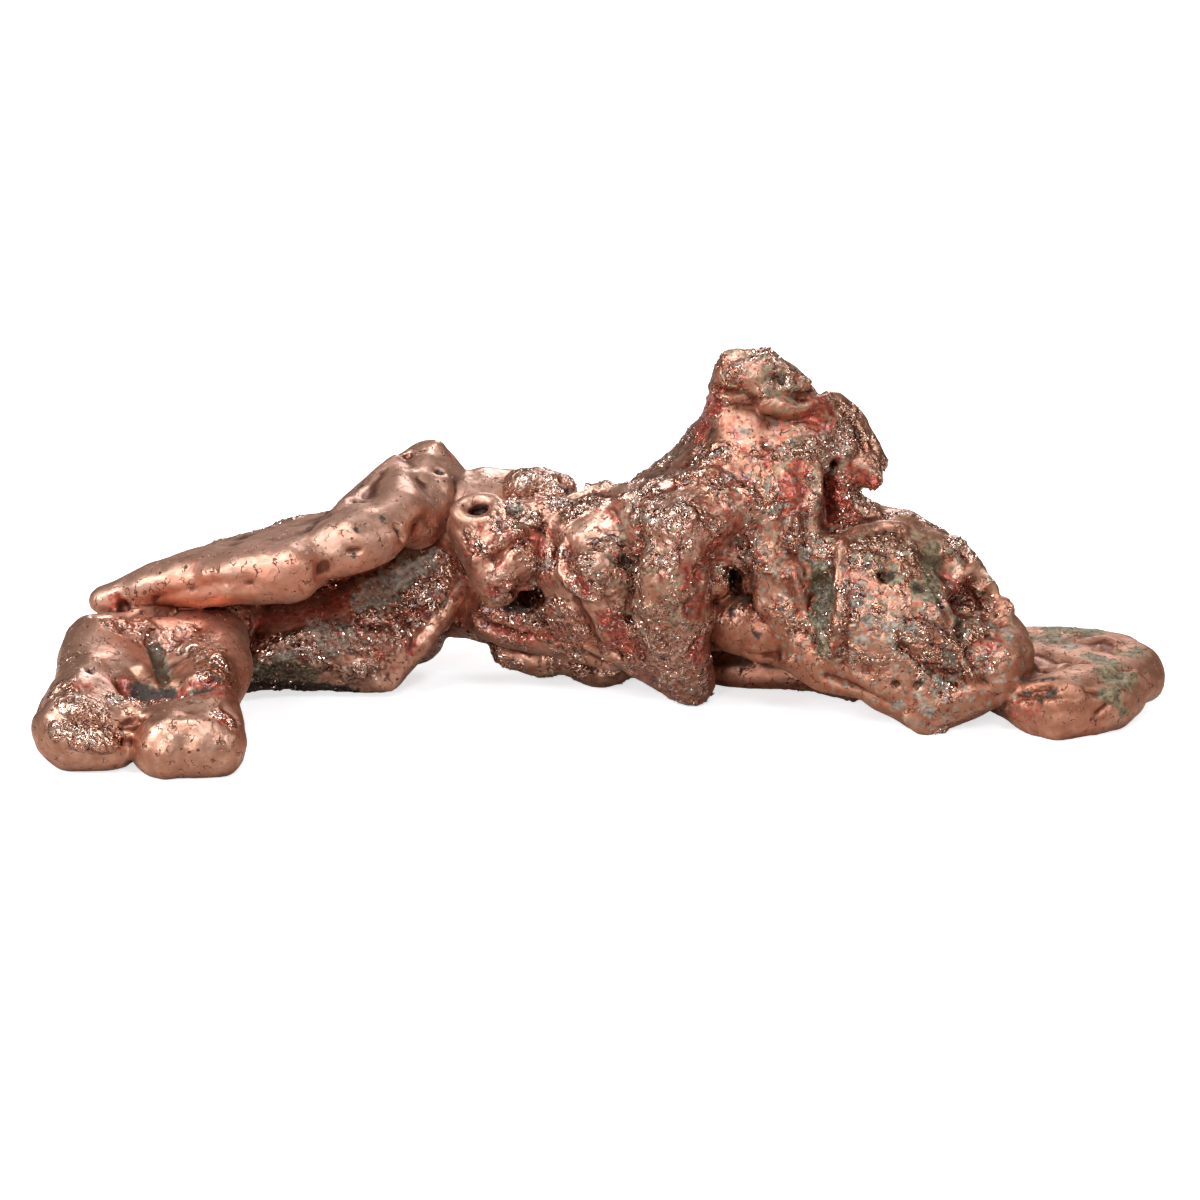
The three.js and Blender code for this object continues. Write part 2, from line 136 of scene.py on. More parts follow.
def place_on(tree):
    """Where a point is on the piece, in metres."""
    return add_node(tree, "ShaderNodeTexCoord").outputs["Object"]


def noise_node(tree, coords, scale, detail=2.0, distortion=0.0, kind="FBM"):
    """Cloudy noise with so many swells to the metre."""
    sockets = {"Vector": coords, "Scale": scale, "Detail": detail, "Distortion": distortion}
    return add_node(tree, "ShaderNodeTexNoise", sockets, noise_type=kind)


def grain_noise(tree, coords, size, detail=2.0):
    """Cloudy noise with swells about size millimetres across."""
    return noise_node(tree, coords, 1.0 / (size * MM), detail).outputs["Fac"]


def layer_value(tree, name):
    """One of the layers that the skin's mesh carries."""
    return add_node(tree, "ShaderNodeAttribute", attribute_name=name).outputs["Fac"]


def new_group(name, inputs, outputs):
    """A shader node group with number inputs and the outputs named."""
    tree = bpy.data.node_groups.new(name, "ShaderNodeTree")
    for label, value in inputs.items():
        socket = tree.interface.new_socket(label, in_out="INPUT", socket_type="NodeSocketFloat")
        socket.default_value = value
    for label, kind in outputs.items():
        tree.interface.new_socket(label, in_out="OUTPUT", socket_type=kind)
    entry = tree.nodes.new("NodeGroupInput")
    leave = tree.nodes.new("NodeGroupOutput")
    return tree, entry.outputs, leave.inputs


def place_group(tree, group, **values):
    """A group placed in a material with its own values; _ stands for a space in an input's name."""
    sockets = {label.replace("_", " "): value for label, value in values.items()}
    return add_node(tree, "ShaderNodeGroup", sockets, node_tree=group).outputs


# ---------------------------------------------------------------- stage

LOOK_AT = (55.0, 21.9, 12.5)    # the spot in the middle of the view
CAMERA_DISTANCE = 0.450
CAMERA_HEIGHT_DEG = 15.0
SENSOR = 36.0
WIDTH_SEEN = 0.120
NEAREST_SEEN = 0.01

COOL_LIGHT = (0.90, 1.0, 1.12)
# The side each stands on, its distance and size in metres, and its power
SOFTBOXES = {
    "top_softbox": ((-0.15, -0.25, 1.0), 0.50, 0.19, 1.3),
    "left_softbox": ((-1.0, -0.55, 0.75), 0.55, 0.20, 2.0),
    "front_softbox": ((0.25, -1.0, 0.95), 0.60, 0.14, 0.9),
    "low_softbox": ((-0.30, -1.0, 0.30), 0.62, 0.10, 0.95),
    "right_softbox": ((1.0, -0.55, 0.55), 0.60, 0.14, 0.6),
    "back_softbox": ((0.2, 1.0, 0.7), 0.60, 0.20, 1.0),
}

WHITE = (1.0, 1.0, 1.0, 1.0)
WARM_ROOM = (1.0, 0.80, 0.68)
GLOOM = (0.30, (0.06, 0.04, 0.03, 1.0))    # how high it reaches, from 0 below to 1 above, and its colour
ROOM_STEPS = ((0.50, 0.13), (0.62, 0.21), (0.80, 0.25), (1.0, 0.25))    # height, brightness

TABLE_HALF = 2.0
TABLE_LIT = (0.85, 0.84, 0.83, 1.0)
TABLE_GLOW = (1.0, 0.995, 0.99, 1.0)
TABLE_MIRRORED = (0.55, 0.46, 0.40, 1.0)
TABLE_FADE = (0.15, 0.50)       # metres from the middle, over which the table turns to pure white
TABLE_STRENGTH = (0.70, 1.05)   # of its glow, in the middle and far out


def make_camera():
    """A long lens that looks down a little at the nugget's front."""
    angle = math.radians(CAMERA_HEIGHT_DEG)
    target = spot(*LOOK_AT)
    away = Vector((0.0, -math.cos(angle), math.sin(angle)))
    data = bpy.data.cameras.new("camera")
    data.sensor_width = SENSOR
    data.lens = SENSOR * CAMERA_DISTANCE / WIDTH_SEEN
    data.clip_start = NEAREST_SEEN
    camera = bpy.data.objects.new("camera", data)
    camera.location = target + away * CAMERA_DISTANCE
    camera.rotation_euler = away.to_track_quat("Z", "Y").to_euler()
    bpy.context.scene.collection.objects.link(camera)
    bpy.context.scene.camera = camera


def make_softbox(name, towards, distance, size, power):
    """A square light that faces the nugget from the given side."""
    data = bpy.data.lights.new(name, "AREA")
    data.shape = "SQUARE"
    data.size = size
    data.energy = power
    data.color = COOL_LIGHT
    light = bpy.data.objects.new(name, data)
    side = Vector(towards).normalized()
    light.location = spot(*LOOK_AT) + side * distance
    light.rotation_euler = side.to_track_quat("Z", "Y").to_euler()
    bpy.context.scene.collection.objects.link(light)


def seen_or_mirrored(tree, seen, mirrored):
    """One shader where the camera looks straight at it, and another where the metal mirrors it."""
    path = add_node(tree, "ShaderNodeLightPath").outputs["Is Camera Ray"]
    return add_node(tree, "ShaderNodeMixShader", {0: path, 1: mirrored, 2: seen}).outputs[0]


def make_studio():
    """White to the camera; round the metal a dim warm room, darker low down, that gives it contrast."""
    world = bpy.data.worlds.new("studio")
    bpy.context.scene.world = world
    world.use_nodes = True
    tree = world.node_tree
    tree.nodes.clear()
    coords = add_node(tree, "ShaderNodeTexCoord").outputs["Generated"]
    upward = add_node(tree, "ShaderNodeSeparateXYZ", {0: coords}).outputs["Z"]
    room = add_node(tree, "ShaderNodeValToRGB", {"Fac": math_node(tree, "MULTIPLY_ADD", upward, 0.5, 0.5)})
    steps = room.color_ramp.elements
    steps.remove(steps[0])
    steps[0].position, steps[0].color = GLOOM
    for height, level in ROOM_STEPS:
        steps.new(height).color = [level * part for part in WARM_ROOM] + [1.0]
    dim = add_node(tree, "ShaderNodeBackground", {"Color": room.outputs["Color"]}).outputs[0]
    white = add_node(tree, "ShaderNodeBackground", {"Color": WHITE}).outputs[0]
    add_node(tree, "ShaderNodeOutputWorld", {"Surface": seen_or_mirrored(tree, white, dim)})
    for name, (towards, distance, size, power) in SOFTBOXES.items():
        make_softbox(name, towards, distance, size, power)
    bpy.context.scene.view_settings.view_transform = "Standard"


def table_material():
    """Near white with a faint shadow to the camera, and a duller grey where the metal mirrors it."""
    material = bpy.data.materials.new("pale_table")
    material.use_nodes = True
    tree = material.node_tree
    tree.nodes.clear()
    lit = add_node(tree, "ShaderNodeBsdfDiffuse", {"Color": TABLE_LIT}).outputs[0]
    away = add_node(tree, "ShaderNodeVectorMath", {0: place_on(tree)}, operation="LENGTH").outputs["Value"]
    strength = grade(tree, away, *TABLE_FADE, *TABLE_STRENGTH)
    glow = add_node(tree, "ShaderNodeEmission", {"Color": TABLE_GLOW, "Strength": strength}).outputs[0]
    bright = add_node(tree, "ShaderNodeAddShader", {0: lit, 1: glow}).outputs[0]
    dull = add_node(tree, "ShaderNodeBsdfDiffuse", {"Color": TABLE_MIRRORED}).outputs[0]
    add_node(tree, "ShaderNodeOutputMaterial", {"Surface": seen_or_mirrored(tree, bright, dull)})
    return material


def make_table():
    """The pale table that the nugget lies on."""
    form = bmesh.new()
    bmesh.ops.create_grid(form, x_segments=1, y_segments=1, size=TABLE_HALF)
    mesh = bpy.data.meshes.new("table")
    form.to_mesh(mesh)
    form.free()
    mesh.materials.append(table_material())
    table = bpy.data.objects.new("table", mesh)
    bpy.context.scene.collection.objects.link(table)


# ---------------------------------------------------------------- marks on the nugget

# The fifth layer is painted reflected light: a reddish glow that copper faces bounce onto undersides and rims.
# The fourth layer is black: partly black oxide, partly painted shade in holes, pits and under edges.
LAYERS = ("cuprite", "malachite", "slate", "black_and_shade", "bounce_glow", "matte", "umber")
SOFT, KEEN = 2.0, 1.3    # sharpness of a swelling and of a crease
# A pit's black bottom is partly black oxide, partly painted shade.
PIT_BLACK = 0.8           # how black a pit is
PIT_BLACK_REACH = 0.7     # how far the black reaches, against the pit itself

SHAPES = []      # (rise in mm, reach in mm, sharpness, path of spots)
STAINS = []      # (layer, strength, reach in mm, path of spots)
SMOOTH = []      # (reach in mm, path of spots), where the metal isn't torn
TORN = []        # (strength, reach in mm, path of spots), where it is torn after all
BEADS = []       # (radius in mm, path of spots), rims and knobs that stand well proud


def bead(radius, *path):
    """A round rim along a path, melted into the skin; a path of one spot is a knob."""
    BEADS.append((radius, path))


def ridge(rise, reach, *path):
    """A soft raised line."""
    SHAPES.append((rise, reach, SOFT, path))


def bumps(rise, reach, *places):
    """Soft swellings, one at each spot."""
    for place in places:
        ridge(rise, reach, place)


def crease(depth, reach, *path):
    """A keen sunk line."""
    SHAPES.append((-depth, reach, KEEN, path))


def dish(depth, reach, *path):
    """A soft sunk trough."""
    SHAPES.append((-depth, reach, SOFT, path))


def stain(layer, strength, reach, *path):
    """A layer laid on along a path."""
    STAINS.append((layer, strength, reach, path))


def grains(layer, strength, reach, *places):
    """Small spots of a layer."""
    for place in places:
        stain(layer, strength, reach, place)


def pits(depth, reach, *places):
    """Round holes with black bottoms, partly black oxide and partly painted shade."""
    for place in places:
        dish(depth, reach, place)
        stain("black_and_shade", PIT_BLACK, reach * PIT_BLACK_REACH, place)


def smooth(reach, *path):
    """Smooth metal along a path."""
    SMOOTH.append((reach, path))


def rough(reach, *path, strength=1.0):
    """Torn metal along a path, even where the metal round it is smooth."""
    TORN.append((strength, reach, path))


cuprite, malachite, slate, black_and_shade, bounce_glow, matte, umber = (partial(stain, layer) for layer in LAYERS)


def mark_front_foot():
    """The dished foot on the left, with its two toes."""
    smooth(9.5, (3, 5, 4), (10, 6, 4), (17, 8, 5), (12, 17, 8), (8, 20, 10))
    crease(0.5, 1.0, (0.5, 6, 6), (4, 2.5, 6), (8, 3, 5), (9, 3, 3.5))
    ridge(0.25, 1.0, (5.5, 2, 3.6), (8, 2.6, 3.5), (9.2, 3.2, 4))
    crease(0.5, 1.0, (9, 4, 4.5), (10.3, 4, 5.3), (11.5, 3.6, 6))
    bumps(0.3, 2.2, (14, 2, 5), (16.5, 2, 5))
    dish(0.9, 2.0, (9.2, 9.2, 6.8), (11, 9.5, 6.5), (13.1, 8.3, 7.1), (15.2, 7.2, 7.5), (16.8, 8.1, 7.8))
    crease(0.4, 0.7, (10, 9.4, 6.8), (13.1, 8.3, 7.1), (15.2, 7.4, 7.5))
    dish(0.5, 1.0, (10.4, 17.6, 10.2), (11.1, 16.6, 8.8), (11.6, 14.1, 7.7), (12.5, 11, 7.2))
    bumps(0.5, 1.5, (9.8, 12.6, 7.7), (14.5, 16.5, 9.5), (17.5, 12, 9.2))
    ridge(0.3, 1.8, (2.5, 6.5, 7.5), (4, 6.5, 8), (5.5, 11, 9))
    pits(0.4, 0.7, (5.2, 9, 8.5), (17.6, 9.3, 8), (13.5, 15.7, 8.7))
    crease(0.5, 0.8, (19, 4.5, 6.5), (20, 4, 5.5))
    crease(0.8, 1.0, (5, 19, 12), (6.5, 19, 12), (9, 20, 11.5), (12, 21, 11.5), (14.5, 27, 10))
    pits(0.9, 0.8, (7.5, 22, 11.5))
    rough(1.6, (2.7, 6.2, 7.7), (4.1, 4, 6.9), (6.3, 3.6, 6), strength=0.5)
    rough(1.5, (7.2, 17.9, 11.3), (9.4, 17.8, 10.7), (11.8, 17.5, 9.6), strength=0.9)
    rough(1.8, (13.8, 18, 9.4), (16.1, 14.5, 9.4), (17.5, 9.5, 7.9), strength=0.7)
    rough(1.3, (3.2, 2.1, 4.5), (5.9, 2.2, 3.6), (7.8, 2.6, 3.9), strength=0.8)
    rough(1.2, (8, 6.4, 6.4), (10, 6.8, 6.4), (14, 6.4, 6.9), strength=0.8)
    rough(0.9, (18.4, 3.1, 6.1), (19.6, 2.8, 5.5), strength=0.9)
    malachite(0.6, 1.2, (10, 9.4, 6.7), (12, 9, 6.8))
    malachite(0.5, 1.1, (14.2, 7.6, 7.3), (16.4, 7.8, 7.7))
    malachite(0.65, 0.9, (11.1, 16.6, 8.8), (11.6, 14.1, 7.7), (12.6, 11.5, 7.2))
    cuprite(0.75, 1.8, (9.2, 9.2, 6.8), (13.1, 8.3, 7.1), (17, 8.1, 7.8))
    cuprite(0.5, 0.8, (4.2, 6.4, 8), (5.4, 6.2, 7.8))
    cuprite(0.7, 0.9, (18.5, 2.5, 5.5))
    bead(1.9, (9.0, 5.0, 3.7), (9.6, 6.2, 4.8))
    cuprite(0.9, 1.1, (7, 21.5, 12.5))
    # Painted shade: black deepens the dish's hollows, partly black oxide.
    black_and_shade(0.85, 1.1, (10.2, 9.4, 6.7), (12.4, 8.8, 6.9))
    black_and_shade(0.85, 1.1, (14.4, 7.6, 7.3), (16.4, 7.8, 7.7))
    black_and_shade(0.5, 0.8, (11.2, 16, 8.6), (11.7, 13.6, 7.6))
    umber(0.9, 2.6, (9.5, 9.5, 6.7), (13, 8.6, 7), (17, 8.2, 7.8), (18.5, 10, 8))
    # Painted reflected light: a reddish glow on the foot's sides and under the arm, where copper faces bounce
    # light onto each other.
    bounce_glow(0.7, 2.2, (19.8, 4, 4), (20, 9, 5), (20.3, 15, 6))
    bounce_glow(0.6, 1.6, (9, 3.5, 4), (12, 1.5, 3.5))
    bounce_glow(0.8, 2.0, (6, 17, 11), (12, 19, 11), (17, 21, 10))


def mark_left_arm():
    """The long smooth arm that lies over the front foot."""
    matte(0.55, 8, (12, 20, 13), (20, 22, 15), (29, 26, 18), (35, 31, 20))
    smooth(8.5, (5, 20, 12), (15, 19, 14), (25, 23, 17), (33, 30, 21), (38, 38, 23), (44, 38, 21))
    smooth(3.2, (42, 36, 22), (46.3, 35.5, 22.5), (50, 37, 21))
    ridge(0.2, 2.0, (9, 21, 14), (11.5, 20.5, 14.5), (18, 19, 16.5), (23, 19, 16.5), (25.5, 20, 17))
    dish(0.4, 2.0, (14, 20, 15.5))
    crease(0.3, 1.1, (10.5, 21, 13), (13.5, 20, 14), (17, 18.5, 15), (20.5, 18.5, 15))
    pits(0.6, 1.0, (30.5, 29.5, 20.5))
    pits(0.4, 0.8, (35, 39, 23.5), (38.5, 37, 22))
    bumps(0.4, 1.5, (35, 34.5, 22.5), (36.5, 35.5, 22), (39, 36, 21), (38, 40, 24), (38, 31, 17.5))
    ridge(0.4, 1.2, (29, 28.5, 20), (32, 36.5, 21.5), (34, 38.5, 23))
    dish(0.5, 2.0, (27.5, 21.5, 16))
    dish(0.5, 1.6, (36.5, 28.5, 18))
    crease(0.6, 0.6, (30, 22, 17.5), (31, 22, 17.5))
    crease(0.6, 0.6, (34.5, 25.5, 19), (35, 26, 18))
    grains("black_and_shade", 0.9, 0.45, (26, 26.5, 18.5), (25, 23.5, 18.5), (30.5, 23, 19.5), (33, 25, 20),
           (30.4, 22, 17.4))
    grains("black_and_shade", 0.9, 0.5, (34.7, 25.6, 18.6))
    cuprite(0.5, 1.2, (36, 28, 17), (37, 29, 16))
    # Painted reflected light: a reddish glow along the arm's underside.
    bounce_glow(0.9, 2.4, (8, 19.5, 12), (14, 18.5, 13), (20, 18.5, 14), (25, 19.5, 15), (30, 23, 15.5))
    bounce_glow(0.7, 2.6, (32, 26, 17), (36, 28, 17.5), (38.5, 31, 18))


def mark_slab():
    """The slab under the arm, with grey and green crusts on its face."""
    rough(2.2, (37.5, 34.2, 12.6), (37.6, 33, 10.8), (36.2, 32, 9.4))
    rough(1.6, (32.6, 28.6, 6.6), (29.1, 27.2, 6.8), (24.6, 26.5, 6.4), (21.5, 26.2, 6))
    rough(1.2, (30.5, 29.2, 8.6), (34.2, 30.8, 8.6), strength=0.8)
    smooth(2.6, (32.5, 33, 12.5), (34.6, 33.2, 12.2), (36, 34.5, 14.8))
    smooth(2.4, (22, 28.5, 9), (26.5, 29.5, 10.2), (30.5, 31.5, 11.2))
    ridge(0.5, 1.0, (20.5, 26, 5.5), (23, 26.5, 7), (26, 27, 7.5), (29, 27, 7.5), (33, 28.5, 7))
    ridge(0.4, 1.2, (41, 34, 10.5), (39, 32, 7.5), (35, 29.5, 3.5), (33.5, 29, 1.5))
    smooth(1.6, (41, 33.5, 10.5), (39, 32, 7.5), (35, 29.5, 3.5), (33.5, 29, 1.5))
    bumps(0.5, 1.2, (32.5, 28.5, 2), (30.5, 28, 3.5))
    foot_line = (20, 27, 2), (24.5, 29, 1), (29, 30.5, 0.5)
    crease(0.5, 1.0, *foot_line)
    # Painted reflected light: a reddish glow on the slab's face under the arm.
    bounce_glow(0.8, 2.4, (21, 28, 8.5), (26, 29, 10.5), (31, 31, 12))
    malachite(0.8, 1.7, (20.5, 26.5, 3.8), (22, 26.5, 3.6), (24.5, 27, 3.4))
    black_and_shade(0.6, 1.6, (20.5, 26.5, 3.6), (22, 26.5, 3.4), (24.5, 27, 3.2))
    slate(0.7, 2.2, (31.5, 31.8, 10.6), (33.4, 32.6, 11.6), (34.6, 33.4, 12.6))
    slate(0.6, 2.0, (36.5, 34, 13.5))
    slate(0.55, 1.1, (26, 27.5, 8), (28, 26.5, 6), (29.5, 27.5, 7.5))
    slate(0.6, 0.7, (22.5, 26.7, 6), (24, 27, 5.5))
    cuprite(0.8, 1.0, (32.5, 28, 5))
    cuprite(0.7, 1.2, (21.5, 28.5, 8.5), (25.5, 29, 9), (29, 31, 10))
    # Painted shade: black along the slab's bottom edge, where it meets the table.
    black_and_shade(0.9, 1.3, *foot_line)
    grains("cuprite", 0.9, 0.8, (37, 31.5, 8.5), (35.5, 29.5, 5.5), (25, 27, 5))
    grains("black_and_shade", 0.6, 0.5, (37, 31.5, 8.3), (35.5, 29.5, 5.3), (25, 27, 4.9))


def mark_snout():
    """The blunt left end of the middle, with its round eye, and the knob behind it."""
    bead(0.8, (42.6, 25.7, 19.4), (41.2, 26.2, 19.6), (40.7, 27.1, 20.2), (41.3, 27.9, 20.9),
         (42.9, 28.5, 21.3), (44.2, 28.1, 21.2), (44.7, 27.1, 20.6), (44, 26, 19.8), (42.6, 25.7, 19.4))
    dish(1.6, 1.2, (43, 27.5, 20))
    dish(0.9, 1.0, (46.5, 27, 20.5))
    bead(0.45, (44.8, 26.4, 19.9), (46.5, 27, 20.6), (48.5, 27.4, 21), (51.4, 27.9, 21.4), (54, 28, 21.8))
    ridge(0.5, 0.9, (54, 28, 21.5), (56, 27.5, 22.5))
    ridge(0.5, 1.0, (55.5, 25, 21.5), (58, 23.5, 22.5), (60, 24, 23), (64, 24, 24.5), (66.5, 24, 25))
    bead(1.5, (47.2, 32.8, 21.6), (49, 33.4, 22), (51, 33, 21.3))
    rough(2.8, (46.5, 31.5, 22), (49, 32, 22.5), (51.5, 32, 22), strength=0.6)
    smooth(1.3, (46.2, 31.5, 22.6), (47.5, 31.2, 22.8))
    smooth(1.1, (41, 26.2, 19.6), (40.7, 27.1, 20.2), (41.3, 27.9, 20.9), (42.9, 28.5, 21.3),
           (44.4, 28.1, 21))
    smooth(1.4, (39.9, 26.9, 18.5), (41.4, 25.3, 15.7), (42.9, 24.5, 12.8))
    rough(1.2, (47, 24.5, 18), (48, 24, 16.1), strength=0.9)
    pits(0.6, 0.7, (51.5, 32.5, 21.2))
    bead(1.0, (49.6, 26.6, 18.4), (49.6, 26.4, 17), (49.6, 26, 15.4))
    crease(0.35, 0.8, (49.3, 26, 19), (49, 25.6, 17), (48.8, 25, 15), (48.3, 25.5, 13.5))
    ridge(0.4, 1.0, (42.5, 24.5, 16), (46, 24.5, 18.5), (48.5, 26, 19.5))
    crease(0.5, 0.8, (44.5, 24, 16), (46, 24, 17.5), (48, 25.5, 18))
    ridge(0.5, 1.0, (44, 25.5, 11.5), (46.5, 26, 12), (48, 27, 12.5))
    dish(0.6, 0.9, (44.5, 24, 13))
    dish(1.5, 1.6, (46.5, 28, 11), (48.5, 30.5, 11))
    smooth(1.6, (44, 24.5, 15), (46.5, 24.5, 16.5), (48, 25.5, 17.5))
    # Painted shade: black at the back of the eye's hole.
    black_and_shade(0.7, 1.0, (43, 29, 20))
    slate(0.9, 0.8, (46.5, 27, 20.5))
    cuprite(0.8, 1.0, (44.5, 24, 13))
    cuprite(0.7, 0.9, (48, 25.5, 18), (48.7, 26, 16))
    # Painted shade: black in the deep dish under the snout.
    black_and_shade(0.9, 1.4, (46.5, 29, 11), (48.5, 30.5, 11))


def mark_belly():
    """The two round bulges in front of the middle, and the flat rolls under them."""
    ridge(0.35, 0.7, (51.6, 24, 17.5), (51.5, 22.6, 15.2), (53, 21.2, 13.6), (55, 20.7, 12.9))
    bumps(0.8, 3.0, (55, 21, 16.5))
    bead(0.42, (51.4, 24, 17.6), (51.1, 23.3, 16.3), (51.5, 22.3, 15), (52.6, 21.4, 13.9),
         (54.6, 20.9, 13.1))
    bead(0.36, (56.3, 21, 17.6), (57.5, 20.9, 18), (58.4, 21.2, 17), (58.3, 21.2, 15.8), (57.3, 20.7, 15.1))
    pits(0.5, 0.8, (57.4, 21.5, 16.4))
    ridge(0.3, 0.9, (54, 20.5, 14), (56.5, 20.5, 14))
    smooth(2.4, (54, 23, 19), (57, 23, 19.5))
    rough(1.5, (55.5, 21.9, 18.2), (57.5, 21.5, 16.7))
    rough(1.3, (55, 20.4, 15.2), (53.8, 20.7, 13.7))
    rough(1.3, (57.5, 22.7, 8.1), (58.2, 21.4, 9.7), strength=0.8)
    bumps(0.5, 1.3, (55.5, 21.5, 10))
    pits(0.9, 0.9, (58, 21.5, 10.5))
    crease(0.6, 0.9, (52.5, 22, 12), (53.5, 22.5, 10), (54.5, 23.5, 7.5))
    ridge(0.3, 1.2, (55, 24, 7), (57, 24, 6), (58.5, 23, 6))
    fold = (42.9, 29, 8.1), (47.5, 28, 7.0), (52.7, 25.1, 7.2), (56.8, 23.9, 6.3)
    crease(1.0, 0.9, *fold)
    bead(0.5, (44.5, 30, 6.2), (47.5, 30.5, 5.2), (49.6, 30, 5))
    bead(0.5, (50.8, 29, 5.2), (53.5, 28, 4.6), (56.5, 27, 4.2))
    crease(0.7, 0.8, (49.9, 30, 5), (50.2, 31, 3))
    smooth(1.8, (43, 30, 5.4), (47, 31, 4), (51, 30, 4), (56, 28.5, 3), (60, 27, 2.5))
    # Painted shadow: brown along the fold, with red cuprite beside it, darkens its crease into a dark reddish
    # shadow line.
    umber(1.0, 1.2, *fold)
    cuprite(0.6, 0.8, (43.5, 29, 7.8), (47.5, 28, 7.0), (50.5, 26.5, 7))
    rough(1.8, (43.8, 28.5, 9.4), (46.9, 28, 9), (49.9, 27.6, 8.2), (52.5, 24.2, 8.4), strength=0.8)
    cuprite(0.9, 0.8, (53, 20.5, 15), (53.3, 20.5, 14.2))
    cuprite(1.0, 1.3, (55.6, 21.4, 10.9), (56.5, 21.9, 9.4), (57.5, 22.7, 8.1))
    malachite(0.4, 1.4, (55, 21, 16.5))
    cuprite(0.6, 0.9, (58.7, 21.5, 20), (58.7, 21.2, 18))


def mark_leg():
    """The torn leg that comes down in the middle."""
    rough(1.8, (60, 18.9, 12.3), (61.5, 19.8, 8.9), (64, 20.3, 7.8), strength=0.9)
    rough(2.2, (59.5, 21.2, 8.6), (63.1, 24.2, 3), (65.1, 24.7, 2.5), strength=0.9)
    rough(1.6, (60.4, 19.4, 21.4), (59, 21.2, 21.4))
    crease(0.6, 0.8, (59, 21.5, 21.5), (59, 21, 17.5), (58.5, 20.5, 14.5), (58, 21, 12.5), (59, 22.5, 6))
    ridge(0.5, 1.2, (60, 18.5, 17.5), (60, 18.5, 12.5), (61, 20.5, 7.5))
    dish(0.7, 1.2, (65, 18.5, 16))
    dish(0.6, 1.0, (64, 18, 13))
    dish(0.7, 1.0, (65, 20.5, 8.7))
    ridge(0.4, 0.7, (62.5, 19.5, 22.5), (64, 19.5, 22), (64, 19, 21.5))
    dish(0.5, 0.9, (66.3, 20.6, 18.8))
    dish(0.9, 0.9, (68.4, 28, 14.5))
    crease(0.5, 0.8, (65, 20.5, 9.5), (64.5, 20.5, 7.5))
    cuprite(1.0, 1.4, (63.9, 17.8, 15.7), (65.4, 19, 16.3))
    cuprite(0.9, 1.1, (64.9, 18.8, 13.3), (63.9, 18.4, 12.2))
    cuprite(0.8, 1.1, (65, 20.5, 8.7), (64.5, 21.5, 7))
    cuprite(0.8, 1.6, (66, 21, 18.5), (66.5, 22, 16.5))
    bead(1.4, (66.8, 23.4, 18.2), (67.6, 24.2, 17))
    grains("slate", 0.8, 0.6, (64, 24.5, 2.5), (62.5, 23, 4))


def mark_peak():
    """The high curl, its shoulder and the hook that hangs over the notch."""
    crease(0.7, 0.9, (67, 28.5, 32.5), (69.5, 27.5, 32.5), (71.5, 28, 31.8), (75, 28, 31.7), (77, 29.5, 32))
    bead(0.9, (71.6, 27.1, 31.2), (73.6, 27, 30.9), (75.6, 27.7, 31), (77.7, 29.4, 31.5))
    smooth(1.3, (71.5, 27.2, 31.2), (73.6, 27.2, 30.9), (75.5, 28.2, 31), (77.6, 30, 31.2))
    bead(0.6, (67.4, 28, 33.2), (70, 27.3, 33), (72, 27.2, 32.1), (74.5, 27.6, 31.8), (76.3, 28.6, 32.2))
    dish(0.7, 1.4, (73, 27, 34))
    ridge(0.4, 0.8, (67.5, 29, 36), (71.5, 28.5, 36), (73, 28, 35.5), (75.5, 28.5, 33))
    ridge(0.5, 0.8, (78, 31, 31.5), (79, 31.5, 31), (81, 31.5, 29), (83, 30, 26), (83.5, 30, 24.5))
    crease(0.5, 0.9, (78.5, 30.5, 31), (80.5, 30, 29.5), (81.5, 29, 27))
    bead(1.1, (77, 28.8, 30))
    for knuckle in ((81.3, 28.2, 24.5), (82.2, 28.2, 24.1), (83, 28.4, 23.8)):
        bead(0.5, knuckle)
    bead(0.7, (82.7, 28.2, 22.9))
    dish(1.2, 0.8, (78.5, 27, 25))
    ridge(0.6, 1.2, (74, 23.5, 24.4), (74.2, 23, 22.8))
    dish(1.6, 1.1, (78, 26.5, 23.5), (78, 26.5, 21.5), (78, 26.5, 20))
    bead(0.6, (76.5, 25.4, 25.5), (76.6, 24.1, 23.2), (76.1, 23.2, 21.4), (76.5, 22.8, 19.2))
    ridge(0.6, 1.0, (74.5, 22.5, 20.5), (74.5, 22, 18))
    smooth(1.5, (70.5, 27.5, 29.8), (72.5, 27, 29.3))
    smooth(1.2, (68, 30, 36), (72, 30, 36.5), (76, 30, 33.5))
    smooth(1.2, (78.5, 32, 31.5), (81, 32.5, 29.5), (83.5, 31, 26))
    cuprite(1.0, 1.9, (77, 28.5, 30), (76.2, 28, 29.2))
    cuprite(1.0, 1.3, (74.3, 24, 24.8), (74, 23.4, 23))
    cuprite(1.0, 1.7, (78, 26.5, 23.5), (78.3, 26.5, 21.5), (79.2, 26.6, 20.2))
    cuprite(0.5, 1.3, (68.5, 23.6, 24.4), (70, 22.6, 23), (67.4, 21, 22.5))
    cuprite(0.9, 0.9, (80, 27.3, 24.5), (82.6, 28, 23))
    cuprite(1.0, 1.3, (66, 29.5, 31), (65.5, 31, 29), (65.6, 30, 27.5))
    cuprite(0.7, 0.8, (71, 25.5, 28), (71.5, 25, 26.5), (71.5, 24.5, 25))
    cuprite(0.7, 1.1, (69, 22, 20.5), (67.5, 21, 20))
    black_and_shade(1.0, 0.8, (78.5, 27, 25))
    malachite(0.6, 0.8, (74.5, 25.5, 27.5))
    grains("slate", 0.7, 0.6, (70, 28, 34), (73.5, 25, 27), (79, 27.5, 27.5), (69.5, 26.5, 29))


